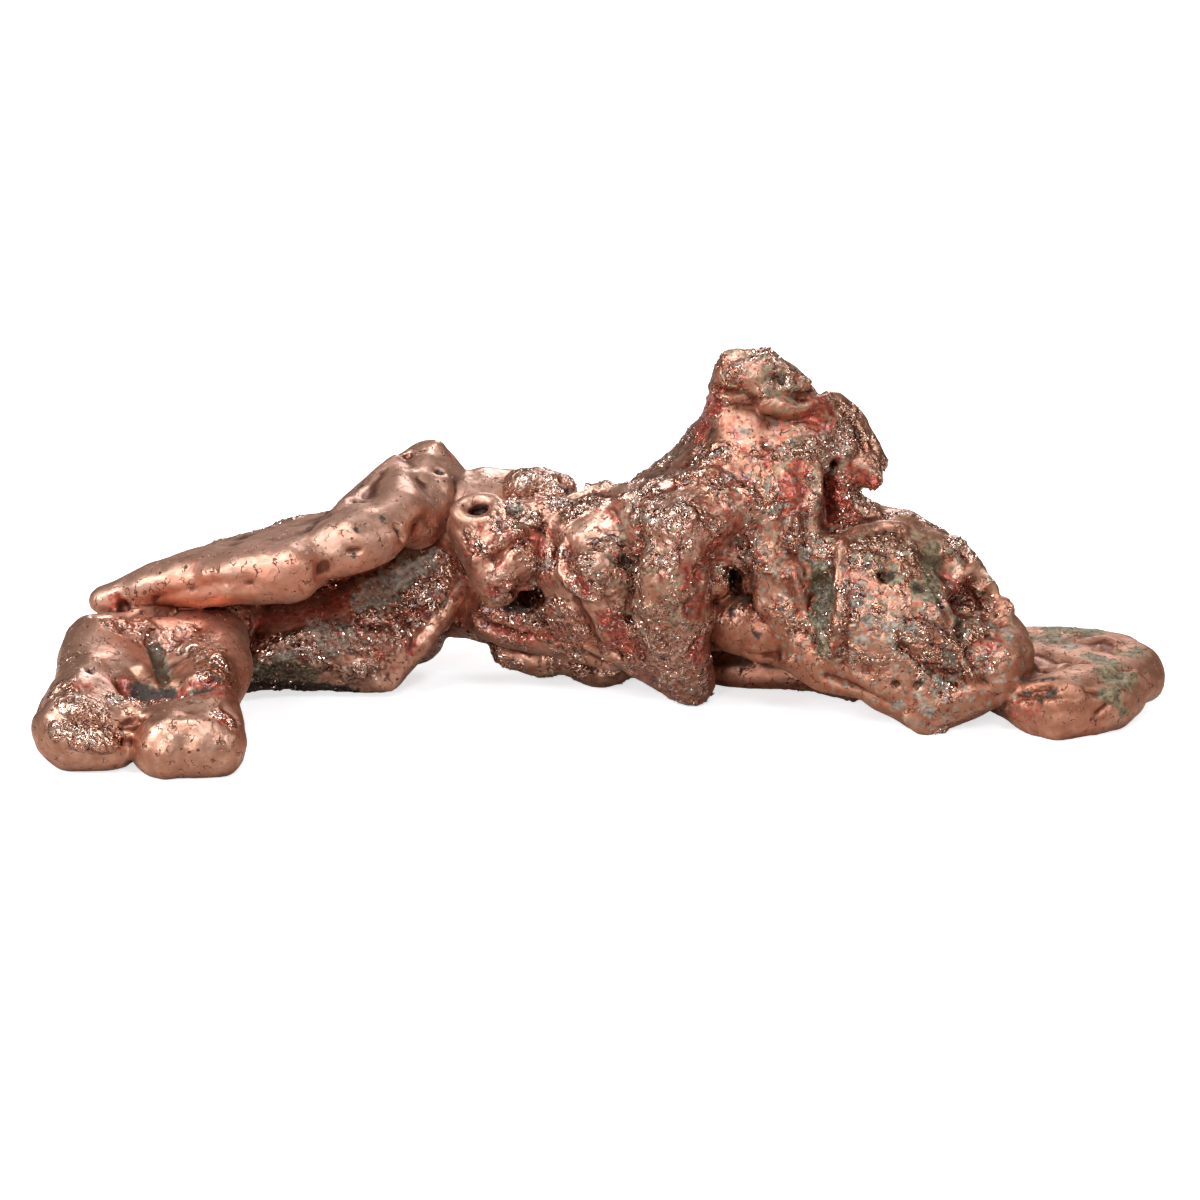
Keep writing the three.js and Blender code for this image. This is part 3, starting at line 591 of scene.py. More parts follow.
def mark_specks():
    """Thin scatterings of mineral over wide areas, weak enough to show only as specks."""
    cuprite(0.30, 9, (68, 26, 28), (75, 25, 24), (69, 23, 20), (74, 22, 14))
    cuprite(0.22, 7, (56, 22, 18), (62, 20, 12), (63, 22, 4))
    cuprite(0.22, 8, (82, 20, 12), (92, 20, 9))
    cuprite(0.30, 7, (30, 30, 9), (38, 32, 9))
    cuprite(0.34, 4, (44, 25, 15), (48, 26, 16), (46, 28.3, 9), (53, 24.5, 8))
    malachite(0.24, 8, (80, 21, 16), (88, 20, 10))
    malachite(0.30, 3, (71, 27, 34.8), (75, 28, 33.4))
    malachite(0.22, 6, (75, 26, 27), (75, 22, 18))
    malachite(0.30, 5, (58, 20, 17), (62, 19, 12))
    slate(0.22, 8, (79, 19, 12), (84, 17, 8), (90, 17, 4))
    slate(0.2, 6, (72, 22, 20), (75, 21, 14))


def mark_umber():
    """Where the metal has darkened to brown."""
    umber(1.0, 10, (80, 20, 15), (86, 18.5, 12), (90, 18, 6), (80, 18, 8))
    umber(0.95, 8, (72, 23, 8), (78, 19, 3), (84, 18, 2))
    umber(0.45, 7, (4, 4, 2), (10, 3, 2), (16, 3, 3))
    umber(0.45, 6, (44, 25, 15), (48, 26, 16), (44, 27, 12))
    umber(0.8, 8, (44, 30, 5), (50, 28, 5), (57, 25, 5))
    umber(1.0, 11, (99, 22, 6), (106, 24, 5))
    umber(0.5, 7, (79, 30, 31), (83, 29, 26))
    umber(0.9, 6, (68, 27, 29.5), (71.5, 26, 28), (68, 24, 25))
    matte(0.5, 2.6, (69, 27.5, 29.8), (71.5, 26.8, 28.8))
    umber(0.6, 4, (60, 19, 17), (61.5, 19, 12))


def mark_back():
    """The far side, which lay in the rock: minerals left in its folds and broad brown patches."""
    cuprite(0.36, 9, (30, 42, 14), (42, 46, 14), (55, 46, 16), (68, 44, 22), (80, 43, 16))
    cuprite(0.9, 1.8, (50, 46, 9), (54, 47, 7), (57, 47, 9))
    cuprite(0.9, 1.5, (72, 44, 20), (74, 44, 16), (73, 45, 12))
    cuprite(0.8, 1.6, (34, 45, 12), (38, 46, 10))
    malachite(0.34, 8, (26, 42, 8), (40, 46, 6), (84, 43, 9), (94, 38, 8))
    malachite(0.9, 2.4, (61, 47, 10), (64, 46, 12), (66, 46, 9))
    malachite(0.9, 2.0, (86, 42, 12), (89, 41, 9))
    slate(0.34, 8, (44, 47, 8), (58, 47, 8), (76, 45, 8))
    slate(0.7, 2.2, (28, 42, 11), (31, 43, 9))
    umber(0.8, 9, (22, 38, 8), (40, 46, 8), (60, 47, 8))
    umber(0.8, 8, (70, 43, 26), (78, 44, 14), (90, 41, 8))
    black_and_shade(0.8, 1.2, (46, 46, 12), (48, 46, 9))
    black_and_shade(0.8, 1.0, (80, 44, 11), (81, 44, 8))
    pits(0.7, 0.9, (36, 45, 15), (52, 46, 14), (63, 45, 17), (76, 43, 20), (88, 41, 13), (94, 38, 6))
    smooth(4.0, (18, 34, 12), (26, 40, 14), (34, 43, 17))


def mark_cave():
    """The round mass between the leg and the right flank, the small hole over it and the thin fin below."""
    bead(3.6, (69.2, 26.4, 9.0), (71.6, 25.4, 8.6))
    bead(2.4, (67.2, 27.2, 11.4))
    bead(2.6, (71.4, 26.6, 12.4))
    bead(2.2, (70.9, 25.2, 15.4), (69.6, 24.6, 17))
    bead(1.5, (66.7, 25.2, 16.2), (66.6, 24.4, 13.5))
    crease(0.6, 0.8, (66.6, 23.5, 12), (66, 23, 9.5), (66.5, 23.4, 7))
    bumps(0.4, 1.2, (71, 22.4, 12))
    crease(0.4, 0.8, (70, 23.5, 6.5), (73, 22.5, 6.5))
    ridge(0.5, 1.0, (71, 31, 3.5), (73, 26, 5), (74.5, 21, 6.5))
    smooth(3.6, (69, 26, 8.5), (72.5, 24.5, 8.5))
    rough(1.1, (70.8, 23.6, 12.6), (71.6, 23, 10.6), strength=0.8)
    smooth(3.5, (68, 34, 2.5), (72, 27, 2), (77, 20, 3.5), (85, 18, 1.5))
    # Painted shade: black in the small hole over the mass.
    black_and_shade(1.0, 0.8, (68.4, 28, 14.6), (68.9, 27.4, 13.6))
    grains("black_and_shade", 0.9, 0.6, (68.6, 24, 10.6), (71.2, 23, 9), (69.5, 24, 12))
    cuprite(0.8, 1.4, (66.5, 26.5, 16.5), (68.5, 26.5, 17.5), (70.5, 25.5, 16.5))
    # Painted reflected light: a reddish glow on the round mass and along the thin fin.
    bounce_glow(0.9, 3.5, (69, 26, 9), (72.5, 23, 8), (76, 20, 5.5))
    fin = (69, 32, 2.5), (74, 26, 2.5), (82, 20, 2)
    bounce_glow(1.0, 5.0, *fin)
    matte(1.0, 6.0, *fin)
    matte(0.7, 3.5, (69.5, 25, 8), (73, 23, 7))


def mark_right_flank():
    """The faceted flank, with green troughs and grey grains."""
    green_trough = (77, 21, 14.5), (77.5, 20, 12.5), (77, 20, 11)
    dish(0.6, 1.4, *green_trough)
    ridge(0.6, 0.9, (74.5, 21.5, 15.5), (75, 21, 13), (76.5, 20.5, 10))
    ridge(0.7, 1.0, (79, 22, 18), (79, 20, 14.5), (79, 18.5, 12.5), (78.5, 18.5, 8.5))
    bead(0.7, (79.3, 22.6, 18.2), (81, 24, 18.9), (83.3, 25.1, 19.3), (85.2, 25, 19.3))
    smooth(1.0, (79.3, 22.4, 18.2), (81, 23.8, 18.9), (83.3, 25, 19.3), (85.2, 25, 19.3))
    crease(0.5, 1.0, (88, 21.5, 15.5), (89, 19, 13))
    dish(0.4, 1.4, (88, 23, 16.5), (89, 22, 15), (88.5, 20, 14))
    ridge(0.5, 0.9, (90.5, 23.5, 13.5), (92.5, 25, 15))
    pits(0.8, 0.9, (83.5, 20, 15.5), (87, 19.5, 14.5))
    pits(1.0, 1.1, (91, 18.6, 10.5))
    pits(0.5, 0.6, (93.8, 19.1, 9.4), (84.3, 16.6, 5.4), (86.6, 16.2, 5.3))
    rough(2.0, (87.2, 17.2, 9.6), (89.8, 17.5, 8))
    dish(1.5, 2.1, (92, 23.5, 13), (90.5, 21, 12), (93.5, 23, 12))
    ridge(0.6, 0.9, (90.5, 26.5, 17.5), (92.5, 26, 15), (94.5, 24.5, 12.5), (96, 23.5, 11))
    crease(0.6, 1.0, (85, 17, 9), (87, 16.5, 7.5), (91, 16.5, 5.5))
    ridge(0.6, 1.0, (86.5, 17.5, 11), (90.5, 18, 8.5), (92, 17, 6))
    crease(0.4, 0.8, (93, 17, 5.5), (94.5, 17, 4))
    bumps(0.5, 2.5, (95, 18, 8))
    ridge(0.4, 0.9, (85.5, 16.5, 2), (87, 17, 1), (89, 17, 0.5))
    crease(0.4, 0.8, (77.5, 18.5, 5.5), (80.5, 17.5, 4.5), (84, 16.5, 3))
    smooth(1.8, (85.5, 25.5, 19), (87.5, 25, 18.5))
    smooth(1.4, (91, 27.5, 17.5), (93, 27.5, 15), (95.5, 25.5, 12), (97, 23, 9))
    smooth(2.2, (97.5, 22, 8), (98, 20, 5.5), (96, 19, 3), (92, 18, 2))
    malachite(1.0, 1.5, *green_trough)
    malachite(1.0, 1.3, (77.5, 19, 8.5))
    malachite(1.0, 1.3, (88, 24, 17), (89, 23.5, 15.5), (88.5, 20, 14))
    grains("malachite", 0.9, 0.9, (83.5, 20, 15.5), (87, 19.5, 14.5), (91, 18.5, 10.5))
    grains("slate", 0.9, 0.7, (75.5, 21.5, 17.5), (80.5, 18.5, 13), (81.5, 17.5, 11.5), (83.5, 17.5, 11))
    grains("slate", 0.9, 0.7, (86, 17.5, 11), (80.5, 17.5, 9.5), (89, 16.5, 5.5), (87.5, 16, 3))
    grains("slate", 0.9, 0.7, (84.5, 16.5, 3), (96, 19.5, 9.5))
    cuprite(0.5, 1.6, (92, 23.5, 13), (90.5, 21, 12))
    cuprite(0.8, 0.6, (94.6, 19, 9.1), (94.2, 18.4, 7.8))
    cuprite(0.6, 0.9, (78, 19.5, 11.3))


def mark_right_foot():
    """The smooth flat foot on the right, with green in its furrows."""
    smooth(9.0, (102, 30, 5), (103, 20, 4), (106, 20, 4), (107, 28, 4))
    smooth(5.0, (98, 15, 2), (104, 16, 2))
    crease(0.45, 0.5, (97.5, 16, 5), (98.5, 15.5, 5.5), (99.5, 15, 5.5))
    crease(0.5, 0.5, (96.5, 16.5, 4), (98, 15, 4.5), (100, 14, 5))
    crease(0.35, 0.5, (97.5, 15.5, 3.5), (98.5, 14.5, 4))
    crease(0.5, 0.7, (99, 20, 5.5), (100.5, 18.5, 6), (102.5, 20.5, 6.5))
    crease(0.7, 0.9, (110, 20.5, 5), (110.5, 20, 4))
    ridge(0.3, 0.8, (109, 19, 6), (110, 19.5, 5), (110.5, 19.5, 3.5))
    ridge(0.4, 1.2, (104.5, 27.5, 6.5), (106.5, 28.5, 6.5), (107.5, 26.5, 6.5))
    ridge(0.3, 1.0, (99, 14, 4), (100.5, 13.5, 4.5), (102.5, 14, 4.5))
    crease(0.4, 1.0, (99.5, 24.5, 6), (101, 22.5, 6), (103.5, 21, 6.5))
    crease(0.4, 0.5, (107, 19.5, 6.5), (108.5, 20, 6.5))
    crease(0.4, 0.5, (103, 15, 5), (104.5, 15, 4.7))
    crease(0.4, 0.5, (104.3, 14.5, 3), (105.3, 15, 3.5))
    dish(0.4, 1.3, (105.5, 17.5, 6), (107, 18, 6))
    bumps(0.4, 0.8, (103, 28, 6.5), (104, 30, 6.5), (105.3, 24.7, 6.5), (106.8, 23.8, 6.6))
    malachite(0.9, 1.5, (101, 31, 7), (102.5, 31.5, 6.5), (104, 31.5, 6.5), (105, 30.5, 6.5))
    malachite(0.8, 1.1, (100, 29, 6.5), (102, 28, 6.5))
    malachite(0.9, 1.0, (104.5, 23, 6.5), (106, 21, 6.5), (107, 20, 6.5))
    malachite(0.8, 1.0, (108, 23, 6.5), (109.5, 25, 6.5))
    malachite(1.0, 1.3, (105.5, 17.5, 6), (106.5, 18, 6), (107.5, 17.7, 6))
    malachite(1.0, 0.9, (105, 15.5, 4.8), (106, 15.8, 5))
    malachite(0.8, 0.6, (106.3, 15.6, 4.5), (106.5, 15.5, 3.5), (107, 15.7, 2.5))
    malachite(0.8, 0.7, (102, 16.5, 6.2))
    slate(0.9, 1.0, (102.5, 25.5, 6.5))
    black_and_shade(0.8, 0.35, (97.3, 17.9, 5.1), (98.7, 16.6, 5.7), (100.1, 16, 6.1))
    black_and_shade(0.8, 0.4, (97.1, 16.2, 4.4), (98.5, 14.7, 4.6), (100, 14.2, 5.1))
    matte(1.0, 10.0, (101, 24, 6), (105, 22, 6), (107, 26, 5))
    matte(1.0, 6.0, (98, 15, 3), (103, 15, 3))
    ridge(0.2, 0.7, (101.5, 15.2, 5.2), (103.5, 14.6, 5))
    rough(0.7, (99.6, 13.6, 3.9), (102.5, 13.4, 4), strength=0.5)
    cuprite(0.5, 1.2, (96, 16.5, 2.5), (98, 14.5, 3))
    # Painted reflected light: a reddish glow along the foot's lower edge.
    bounce_glow(0.8, 3.0, (97, 17, 3), (100, 13.5, 2.5), (104, 13, 2))


def mark_nugget():
    """All the marks, lobe by lobe."""
    mark_front_foot()
    mark_left_arm()
    mark_slab()
    mark_snout()
    mark_belly()
    mark_leg()
    mark_peak()
    mark_specks()
    mark_umber()
    mark_back()
    mark_cave()
    mark_right_flank()
    mark_right_foot()


# ---------------------------------------------------------------- skin

EMPHASIS = 1.3                 # all the ridges and creases, against the heights written with them
SWELL = 0.12                   # mm, what the easing takes off the form and is given back
CELL = 0.30                    # mm, grid of the first full skin
SKIN_TRIANGLES = 190000        # kept after thinning the whole skin
EASE_STEPS = 9                 # rounds of smoothing that hide the flat faces of the rough solid
EASE_FACTOR = 0.5
HACKLE_JITTER = 0.022          # mm, random tilt of the torn metal's small facets
BEAD_STEP = 0.5                # gap between the balls of a bead, against their radius
WELD = 0.001                   # mm, points nearer than this are one
EDGE_WANDER = 0.35             # how far a mark's edge strays, against its reach
LEAST_TORN = 0.11              # how torn the smoothest metal still is
BACK_STARTS, BACK_FADE = 34, 4    # mm from the front, where the far side's own patches take over

# Relief by noise: kind, size and height in mm, on which metal, settings
RELIEF = {
    "swells": ("CLOUDS", 4.5, 0.6, "", {"noise_depth": 1}),
    "lumps": ("VORONOI", 1.9, 0.42, "torn", {"noise_intensity": 1.2}),
    "hackle": ("DISTORTED_NOISE", 0.9, 0.20, "torn", {"distortion": 1.5}),
    "fine hackle": ("CLOUDS", 0.5, 0.14, "torn", {"noise_depth": 2}),
    "drips": ("CLOUDS", 2.2, 0.15, "smooth", {"noise_depth": 0}),
}
WEIGHT_STEPS = 16              # steps in a vertex group
HOLLOWS = ((6, 0.16), (40, 0.5))    # rounds of easing that find a hollow, and its full depth in mm


def vertex_vectors(name, mesh):
    """A vector of each of the mesh's vertices, one to a row."""
    flat = np.empty(len(mesh.vertices) * 3, np.float32)
    mesh.vertices.foreach_get(name, flat)
    return flat.reshape(-1, 3).astype(np.float64)


vertex_places = partial(vertex_vectors, "co")
vertex_normals = partial(vertex_vectors, "normal")


def place_vertices(mesh, places):
    """Puts the vertices at the places."""
    mesh.vertices.foreach_set("co", places.astype(np.float32).ravel())
    mesh.update()


def lift_to_table(mesh, places):
    """Puts the vertices at the places, but none below the table."""
    places[:, 2] = np.maximum(places[:, 2], 0.0)
    place_vertices(mesh, places)


def finished_mesh(piece):
    """The piece's mesh with its modifiers applied; the modifiers go."""
    bpy.context.view_layer.update()
    graph = bpy.context.evaluated_depsgraph_get()
    mesh = bpy.data.meshes.new_from_object(piece.evaluated_get(graph))
    mesh.validate()
    piece.modifiers.clear()
    old = piece.data
    piece.data = mesh
    bpy.data.meshes.remove(old)
    return mesh


def wander(places, size, seed):
    """Smooth noise from -1 to 1 at each place, with swells about size millimetres across."""
    shift = Vector((seed * 7.3, seed * 3.1, seed * 5.7))
    step = 1.0 / (size * MM)
    return np.array([noise.noise(Vector(place) * step + shift) for place in places])


def line_distance(places, points):
    """How far each place lies from the line through the points, in millimetres."""
    legs = list(zip(points, points[1:])) or [(points[0], points[0])]
    nearest = np.full(len(places), np.inf)
    for start, end in legs:
        run = end - start
        length = max(float(run @ run), 1e-12)
        along = np.clip((places - start) @ run / length, 0.0, 1.0)
        gap = places - start - along[:, None] * run
        nearest = np.minimum(nearest, np.einsum("ij,ij->i", gap, gap))
    return np.sqrt(nearest) / MM


def path_distance(places, path):
    """How far each place lies from a path of spots, in millimetres."""
    return line_distance(places, [np.array(spot(*p)) for p in path])


def nearest_vertices(places, path):
    """The vertex of the skin nearest to each spot of the path."""
    found = []
    for p in path:
        gaps = places - np.array(spot(*p))
        found.append(int(np.argmin(np.einsum("ij,ij->i", gaps, gaps))))
    return found


def near_path(places, normals, path, reach, wobble):
    """Which vertices are near a path, how close each is, and whether it faces the same way."""
    vertices = nearest_vertices(places, path)
    points = places[vertices]
    low = points.min(0) - reach * 1.5 * MM
    high = points.max(0) + reach * 1.5 * MM
    chosen = np.nonzero(np.all((places > low) & (places < high), axis=1))[0]
    facing = normals[vertices].mean(0)
    facing /= max(np.linalg.norm(facing), 1e-9)
    agree = np.clip(normals[chosen] @ facing * 2.0 + 1.0, 0.0, 1.0)
    stray = 1.0 + EDGE_WANDER * min(1.0, reach / 2.0) * wobble[chosen]
    off = line_distance(places[chosen], points) / reach * stray
    return chosen, np.clip(1.0 - off, 0.0, 1.0), agree


def fall_off(closeness, sharpness):
    """A weight of 1 on the path that fades to 0: keen for a crease, round for a swelling."""
    if sharpness == KEEN:
        return closeness ** KEEN
    return (1.0 - (1.0 - closeness) ** 2) ** 2


def shape_skin(mesh):
    """Raises the ridges and sinks the creases along their paths."""
    places, normals = vertex_places(mesh), vertex_normals(mesh)
    wobble = wander(places, 1.6, 1)
    moved = places + normals * SWELL * MM
    for rise, reach, sharpness, path in SHAPES:
        chosen, closeness, agree = near_path(places, normals, path, reach, wobble)
        push = rise * EMPHASIS * MM * fall_off(closeness, sharpness) * agree
        moved[chosen] += normals[chosen] * push[:, None]
    place_vertices(mesh, moved)


def torn_metal(places):
    """1 where the metal is torn and hackly, 0 where it is smooth; torn metal comes in patches."""
    edge = wander(places, 2.5, 2)
    torn = np.ones(len(places))
    for reach, path in SMOOTH:
        off = path_distance(places, path) / reach + 0.18 * edge
        torn = np.minimum(torn, np.clip((off - 0.85) / 0.3, 0.0, 1.0))
    behind = np.clip((places[:, 1] - spot(0, BACK_STARTS, 0).y) / (BACK_FADE * MM), 0.0, 1.0)
    patchy = np.clip(0.55 + 1.6 * wander(places, 9.0, 3), 0.0, 1.0)
    torn *= 1.0 - behind * (1.0 - patchy)
    uneven = np.clip(0.62 + 1.9 * wander(places, 2.4, 6), 0.15, 1.0)
    torn = (LEAST_TORN + (1.0 - LEAST_TORN) * torn) * uneven
    for strength, reach, path in TORN:
        off = path_distance(places, path) / reach + 0.3 * edge
        torn = np.maximum(torn, strength * np.clip((1.15 - off) / 0.3, 0.0, 1.0))
    return torn


def set_group(piece, name, weights):
    """A vertex group with the weights in equal steps."""
    group = piece.vertex_groups.new(name=name)
    steps = np.round(weights * WEIGHT_STEPS).astype(int)
    for step in range(1, WEIGHT_STEPS + 1):
        chosen = np.nonzero(steps == step)[0].tolist()
        if chosen:
            group.add(chosen, step / WEIGHT_STEPS, "REPLACE")


def displace(piece, name, kind, size, height, group, settings):
    """A modifier that pushes the skin in and out by a noise of the given size and height."""
    texture = bpy.data.textures.new(name, kind)
    texture.noise_scale = size * MM
    for key, value in settings.items():
        setattr(texture, key, value)
    push = piece.modifiers.new(name, "DISPLACE")
    push.texture = texture
    push.texture_coords = "LOCAL"
    push.strength = height * MM
    push.mid_level = 0.5
    push.vertex_group = group


def add_bead(form, radius, path):
    """A string of small balls along the path, close enough to melt into one rim."""
    points = [spot(*p) for p in path]
    places = [points[0]]
    for start, end in zip(points, points[1:]):
        count = max(1, round((end - start).length / (BEAD_STEP * radius * MM)))
        places += [start.lerp(end, step / count) for step in range(1, count + 1)]
    for place in places:
        bmesh.ops.create_icosphere(form, subdivisions=2, radius=radius * MM, matrix=Matrix.Translation(place))


def start_skin():
    """A fine even skin over the nugget's plain solid, eased so that none of its flat faces shows."""
    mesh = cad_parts[NUGGET].data.copy()
    mesh.name = "nugget_skin"
    form = bmesh.new()
    form.from_mesh(mesh)
    bmesh.ops.remove_doubles(form, verts=form.verts, dist=WELD * MM)
    for radius, path in BEADS:
        add_bead(form, radius, path)
    form.to_mesh(mesh)
    form.free()
    mesh.materials.clear()
    skin = bpy.data.objects.new("nugget_skin", mesh)
    bpy.context.scene.collection.objects.link(skin)
    cover = skin.modifiers.new("even skin", "REMESH")
    cover.mode = "VOXEL"
    cover.voxel_size = CELL * MM
    ease = skin.modifiers.new("ease", "SMOOTH")
    ease.factor = EASE_FACTOR
    ease.iterations = EASE_STEPS
    finished_mesh(skin)
    return skin


def drop_strays(mesh):
    """Drops faces that touch no other. The thinning leaves one, and its facing varies from run to run."""
    form = bmesh.new()
    form.from_mesh(mesh)
    strays = [face for face in form.faces if all(edge.is_boundary for edge in face.edges)]
    bmesh.ops.delete(form, geom=strays, context="FACES")
    form.to_mesh(mesh)
    form.free()


def roughen_skin(skin):
    """Broad swells all over, lumps and hackle on the torn metal, then a thinning of the whole skin."""
    torn = torn_metal(vertex_places(skin.data))
    set_group(skin, "torn", torn)
    set_group(skin, "smooth", 1.0 - torn)
    for name, relief in RELIEF.items():
        displace(skin, name, *relief)
    thin = skin.modifiers.new("thin", "DECIMATE")
    triangles = sum(len(face.vertices) - 2 for face in skin.data.polygons)
    thin.ratio = min(1.0, SKIN_TRIANGLES / triangles)
    finished_mesh(skin)
    skin.vertex_groups.clear()
    drop_strays(skin.data)


def tear_facets(skin):
    """Small random tilts on the torn metal, which leave it as flat, bright facets."""
    mesh = skin.data
    places, normals = vertex_places(mesh), vertex_normals(mesh)
    torn = torn_metal(places)
    draw = np.random.default_rng(11)
    jitter = draw.uniform(-1.0, 1.0, len(places)) * HACKLE_JITTER * MM * torn
    lift_to_table(mesh, places + normals * jitter[:, None])
    mesh.shade_smooth()
    return torn


def neighbour_mean(mesh, values, rounds):
    """Each vertex's value averaged with its neighbours', so many times over."""
    edges = np.empty(len(mesh.edges) * 2, np.int32)
    mesh.edges.foreach_get("vertices", edges)
    first, second = edges.reshape(-1, 2).T
    count = np.bincount(first, minlength=len(values)) + np.bincount(second, minlength=len(values)) + 1.0
    for _ in range(rounds):
        total = values.copy()
        for axis in range(values.shape[1]):
            total[:, axis] += np.bincount(first, values[second, axis], len(values))
            total[:, axis] += np.bincount(second, values[first, axis], len(values))
        values = total / count[:, None]
    return values


def set_layer(mesh, name, values):
    """Writes a layer on the mesh as a value at each vertex."""
    layer = mesh.attributes.new(name, "FLOAT", "POINT")
    layer.data.foreach_set("value", values.astype(np.float32))


def stain_skin(mesh, torn):
    """Writes where each layer lies, how torn the metal is, and how deep each place sits in a hollow."""
    places, normals = vertex_places(mesh), vertex_normals(mesh)
    wobble = 1.3 * wander(places, 0.9, 5) + 1.6 * wander(places, 2.6, 7)
    set_layer(mesh, "torn", torn)
    amounts = {layer: np.zeros(len(places)) for layer in LAYERS}
    for layer, strength, reach, path in STAINS:
        chosen, closeness, agree = near_path(places, normals, path, reach * 1.25, wobble)
        weight = strength * np.clip(closeness * 2.2, 0.0, 1.0) * agree
        amounts[layer][chosen] = np.maximum(amounts[layer][chosen], weight)
    for layer, amount in amounts.items():
        set_layer(mesh, layer, amount)
    hollow = np.zeros(len(places))
    for rounds, scale in HOLLOWS:
        eased = neighbour_mean(mesh, places, rounds)
        depth = np.einsum("ij,ij->i", eased - places, normals) / MM
        hollow += np.clip(depth / scale, -1.0, 1.0) / len(HOLLOWS)
    set_layer(mesh, "hollow", hollow)


def make_skin():
    """The whole visible surface of the nugget, with its layers."""
    skin = start_skin()
    shape_skin(skin.data)
    roughen_skin(skin)
    torn = tear_facets(skin)
    stain_skin(skin.data, torn)
    skin.data.name = "nugget_skin"
    return skin


# ---------------------------------------------------------------- loose grains

# Layer, grains to the square mm where it is full, half length, width and depth in mm,
# least and most scale, seed
GRAINS = {
    "copper_crystals": ("torn", 2.0, (0.26, 0.11, 0.055), (0.5, 1.3), 21),
    "cuprite_grains": ("cuprite", 1.6, (0.17, 0.13, 0.07), (0.5, 1.4), 31),
    "malachite_grains": ("malachite", 2.2, (0.16, 0.13, 0.06), (0.5, 1.3), 41),
    "slate_grains": ("slate", 3.5, (0.20, 0.15, 0.07), (0.5, 1.3), 51),
}
BARE_BELOW = 0.4    # no grains where the layer is weaker
CHIP_LEAN = 0.7     # radians, how far a grain tips off the surface


def chip_mesh(name, half_sides):
    """One small crystal: a ball of twenty faces, pressed flatter and left faceted."""
    form = bmesh.new()
    bmesh.ops.create_icosphere(form, subdivisions=1, radius=1.0)
    bmesh.ops.scale(form, vec=Vector(half_sides) * MM, verts=form.verts)
    mesh = bpy.data.meshes.new(name)
    form.to_mesh(mesh)
    form.free()
    return mesh


def random_value(tree, kind, least, most, seed):
    """A value drawn for each grain."""
    sockets = {"Min": least, "Max": most, "Seed": seed}
    return add_node(tree, "FunctionNodeRandomValue", sockets, data_type=kind).outputs["Value"]


def strewing_nodes(name, chip, layer, per_square_mm, spread, seed):
    """Nodes that strew copies of a chip over the skin where a layer is high, and make them real."""
    tree = bpy.data.node_groups.new(name, "GeometryNodeTree")
    for way in ("INPUT", "OUTPUT"):
        tree.interface.new_socket("Geometry", in_out=way, socket_type="NodeSocketGeometry")
    skin = add_node(tree, "NodeGroupInput").outputs[0]
    amount = add_node(tree, "GeometryNodeInputNamedAttribute", {"Name": layer}).outputs["Attribute"]
    crowd = grade(tree, amount, BARE_BELOW, 1.0, 0.0, per_square_mm / MM ** 2)
    points = add_node(tree, "GeometryNodeDistributePointsOnFaces",
                      {"Mesh": skin, "Density": crowd, "Seed": seed}).outputs
    least, most = (-CHIP_LEAN, -CHIP_LEAN, 0.0), (CHIP_LEAN, CHIP_LEAN, math.tau)
    lean = random_value(tree, "FLOAT_VECTOR", least, most, seed + 1)
    turn = add_node(tree, "FunctionNodeRotateRotation",
                    {"Rotation": points["Rotation"], "Rotate By": lean}, rotation_space="LOCAL")
    size = add_node(tree, "FunctionNodeRandomValue", {2: spread[0], 3: spread[1], "Seed": seed + 2})
    source = add_node(tree, "GeometryNodeObjectInfo", {"Object": chip})
    copies = add_node(tree, "GeometryNodeInstanceOnPoints",
                      {"Points": points["Points"], "Instance": source.outputs["Geometry"],
                       "Rotation": turn.outputs["Rotation"], "Scale": size.outputs[1]})
    real = add_node(tree, "GeometryNodeRealizeInstances", {"Geometry": copies.outputs["Instances"]})
    add_node(tree, "NodeGroupOutput", {0: real.outputs["Geometry"]})
    return tree


def strew(name, skin, layer, per_square_mm, half_sides, spread, seed):
    """A piece made of many grains that sit in the skin where the layer is high."""
    chip = bpy.data.objects.new("chip", chip_mesh("chip", half_sides))
    piece = bpy.data.objects.new(name, skin.data.copy())
    bpy.context.scene.collection.objects.link(piece)
    strewer = piece.modifiers.new("strew", "NODES")
    strewer.node_group = strewing_nodes(name, chip, layer, per_square_mm, spread, seed)
    mesh = finished_mesh(piece)
    mesh.name = name
    mesh.materials.clear()
    lift_to_table(mesh, vertex_places(mesh))
    mesh.shade_flat()
    bpy.data.objects.remove(chip)
    return piece


# ---------------------------------------------------------------- finishes

CUPRITE = ((0.20, 0.026, 0.014, 1.0), (0.50, 0.105, 0.055, 1.0))
MALACHITE = ((0.055, 0.046, 0.018, 1.0), (0.265, 0.225, 0.115, 1.0))
SLATE = ((0.110, 0.090, 0.064, 1.0), (0.40, 0.355, 0.27, 1.0))
# Black: black oxide, and painted shade in holes and under edges.
BLACK_AND_SHADE = (0.030, 0.015, 0.007, 1.0)
# Dark oxide in hollows, and painted shade that stands in for the darkness and reddish bounce in recesses.
DEEP_OXIDE_AND_SHADE = (0.13, 0.036, 0.018, 1.0)
# Painted reflected light: the reddish glow bounced between copper faces onto undersides and rims.
BOUNCE_GLOW = (0.66, 0.215, 0.115, 1.0)
UMBER = (0.36, 0.150, 0.078, 1.0)
FRESH_COPPER = (0.95, 0.80, 0.68, 1.0)
PLAIN_COPPER = ((0.70, 0.40, 0.285, 1.0), (0.62, 0.335, 0.235, 1.0))
BROWNED_COPPER = ((0.50, 0.29, 0.19, 1.0), (0.31, 0.175, 0.11, 1.0))

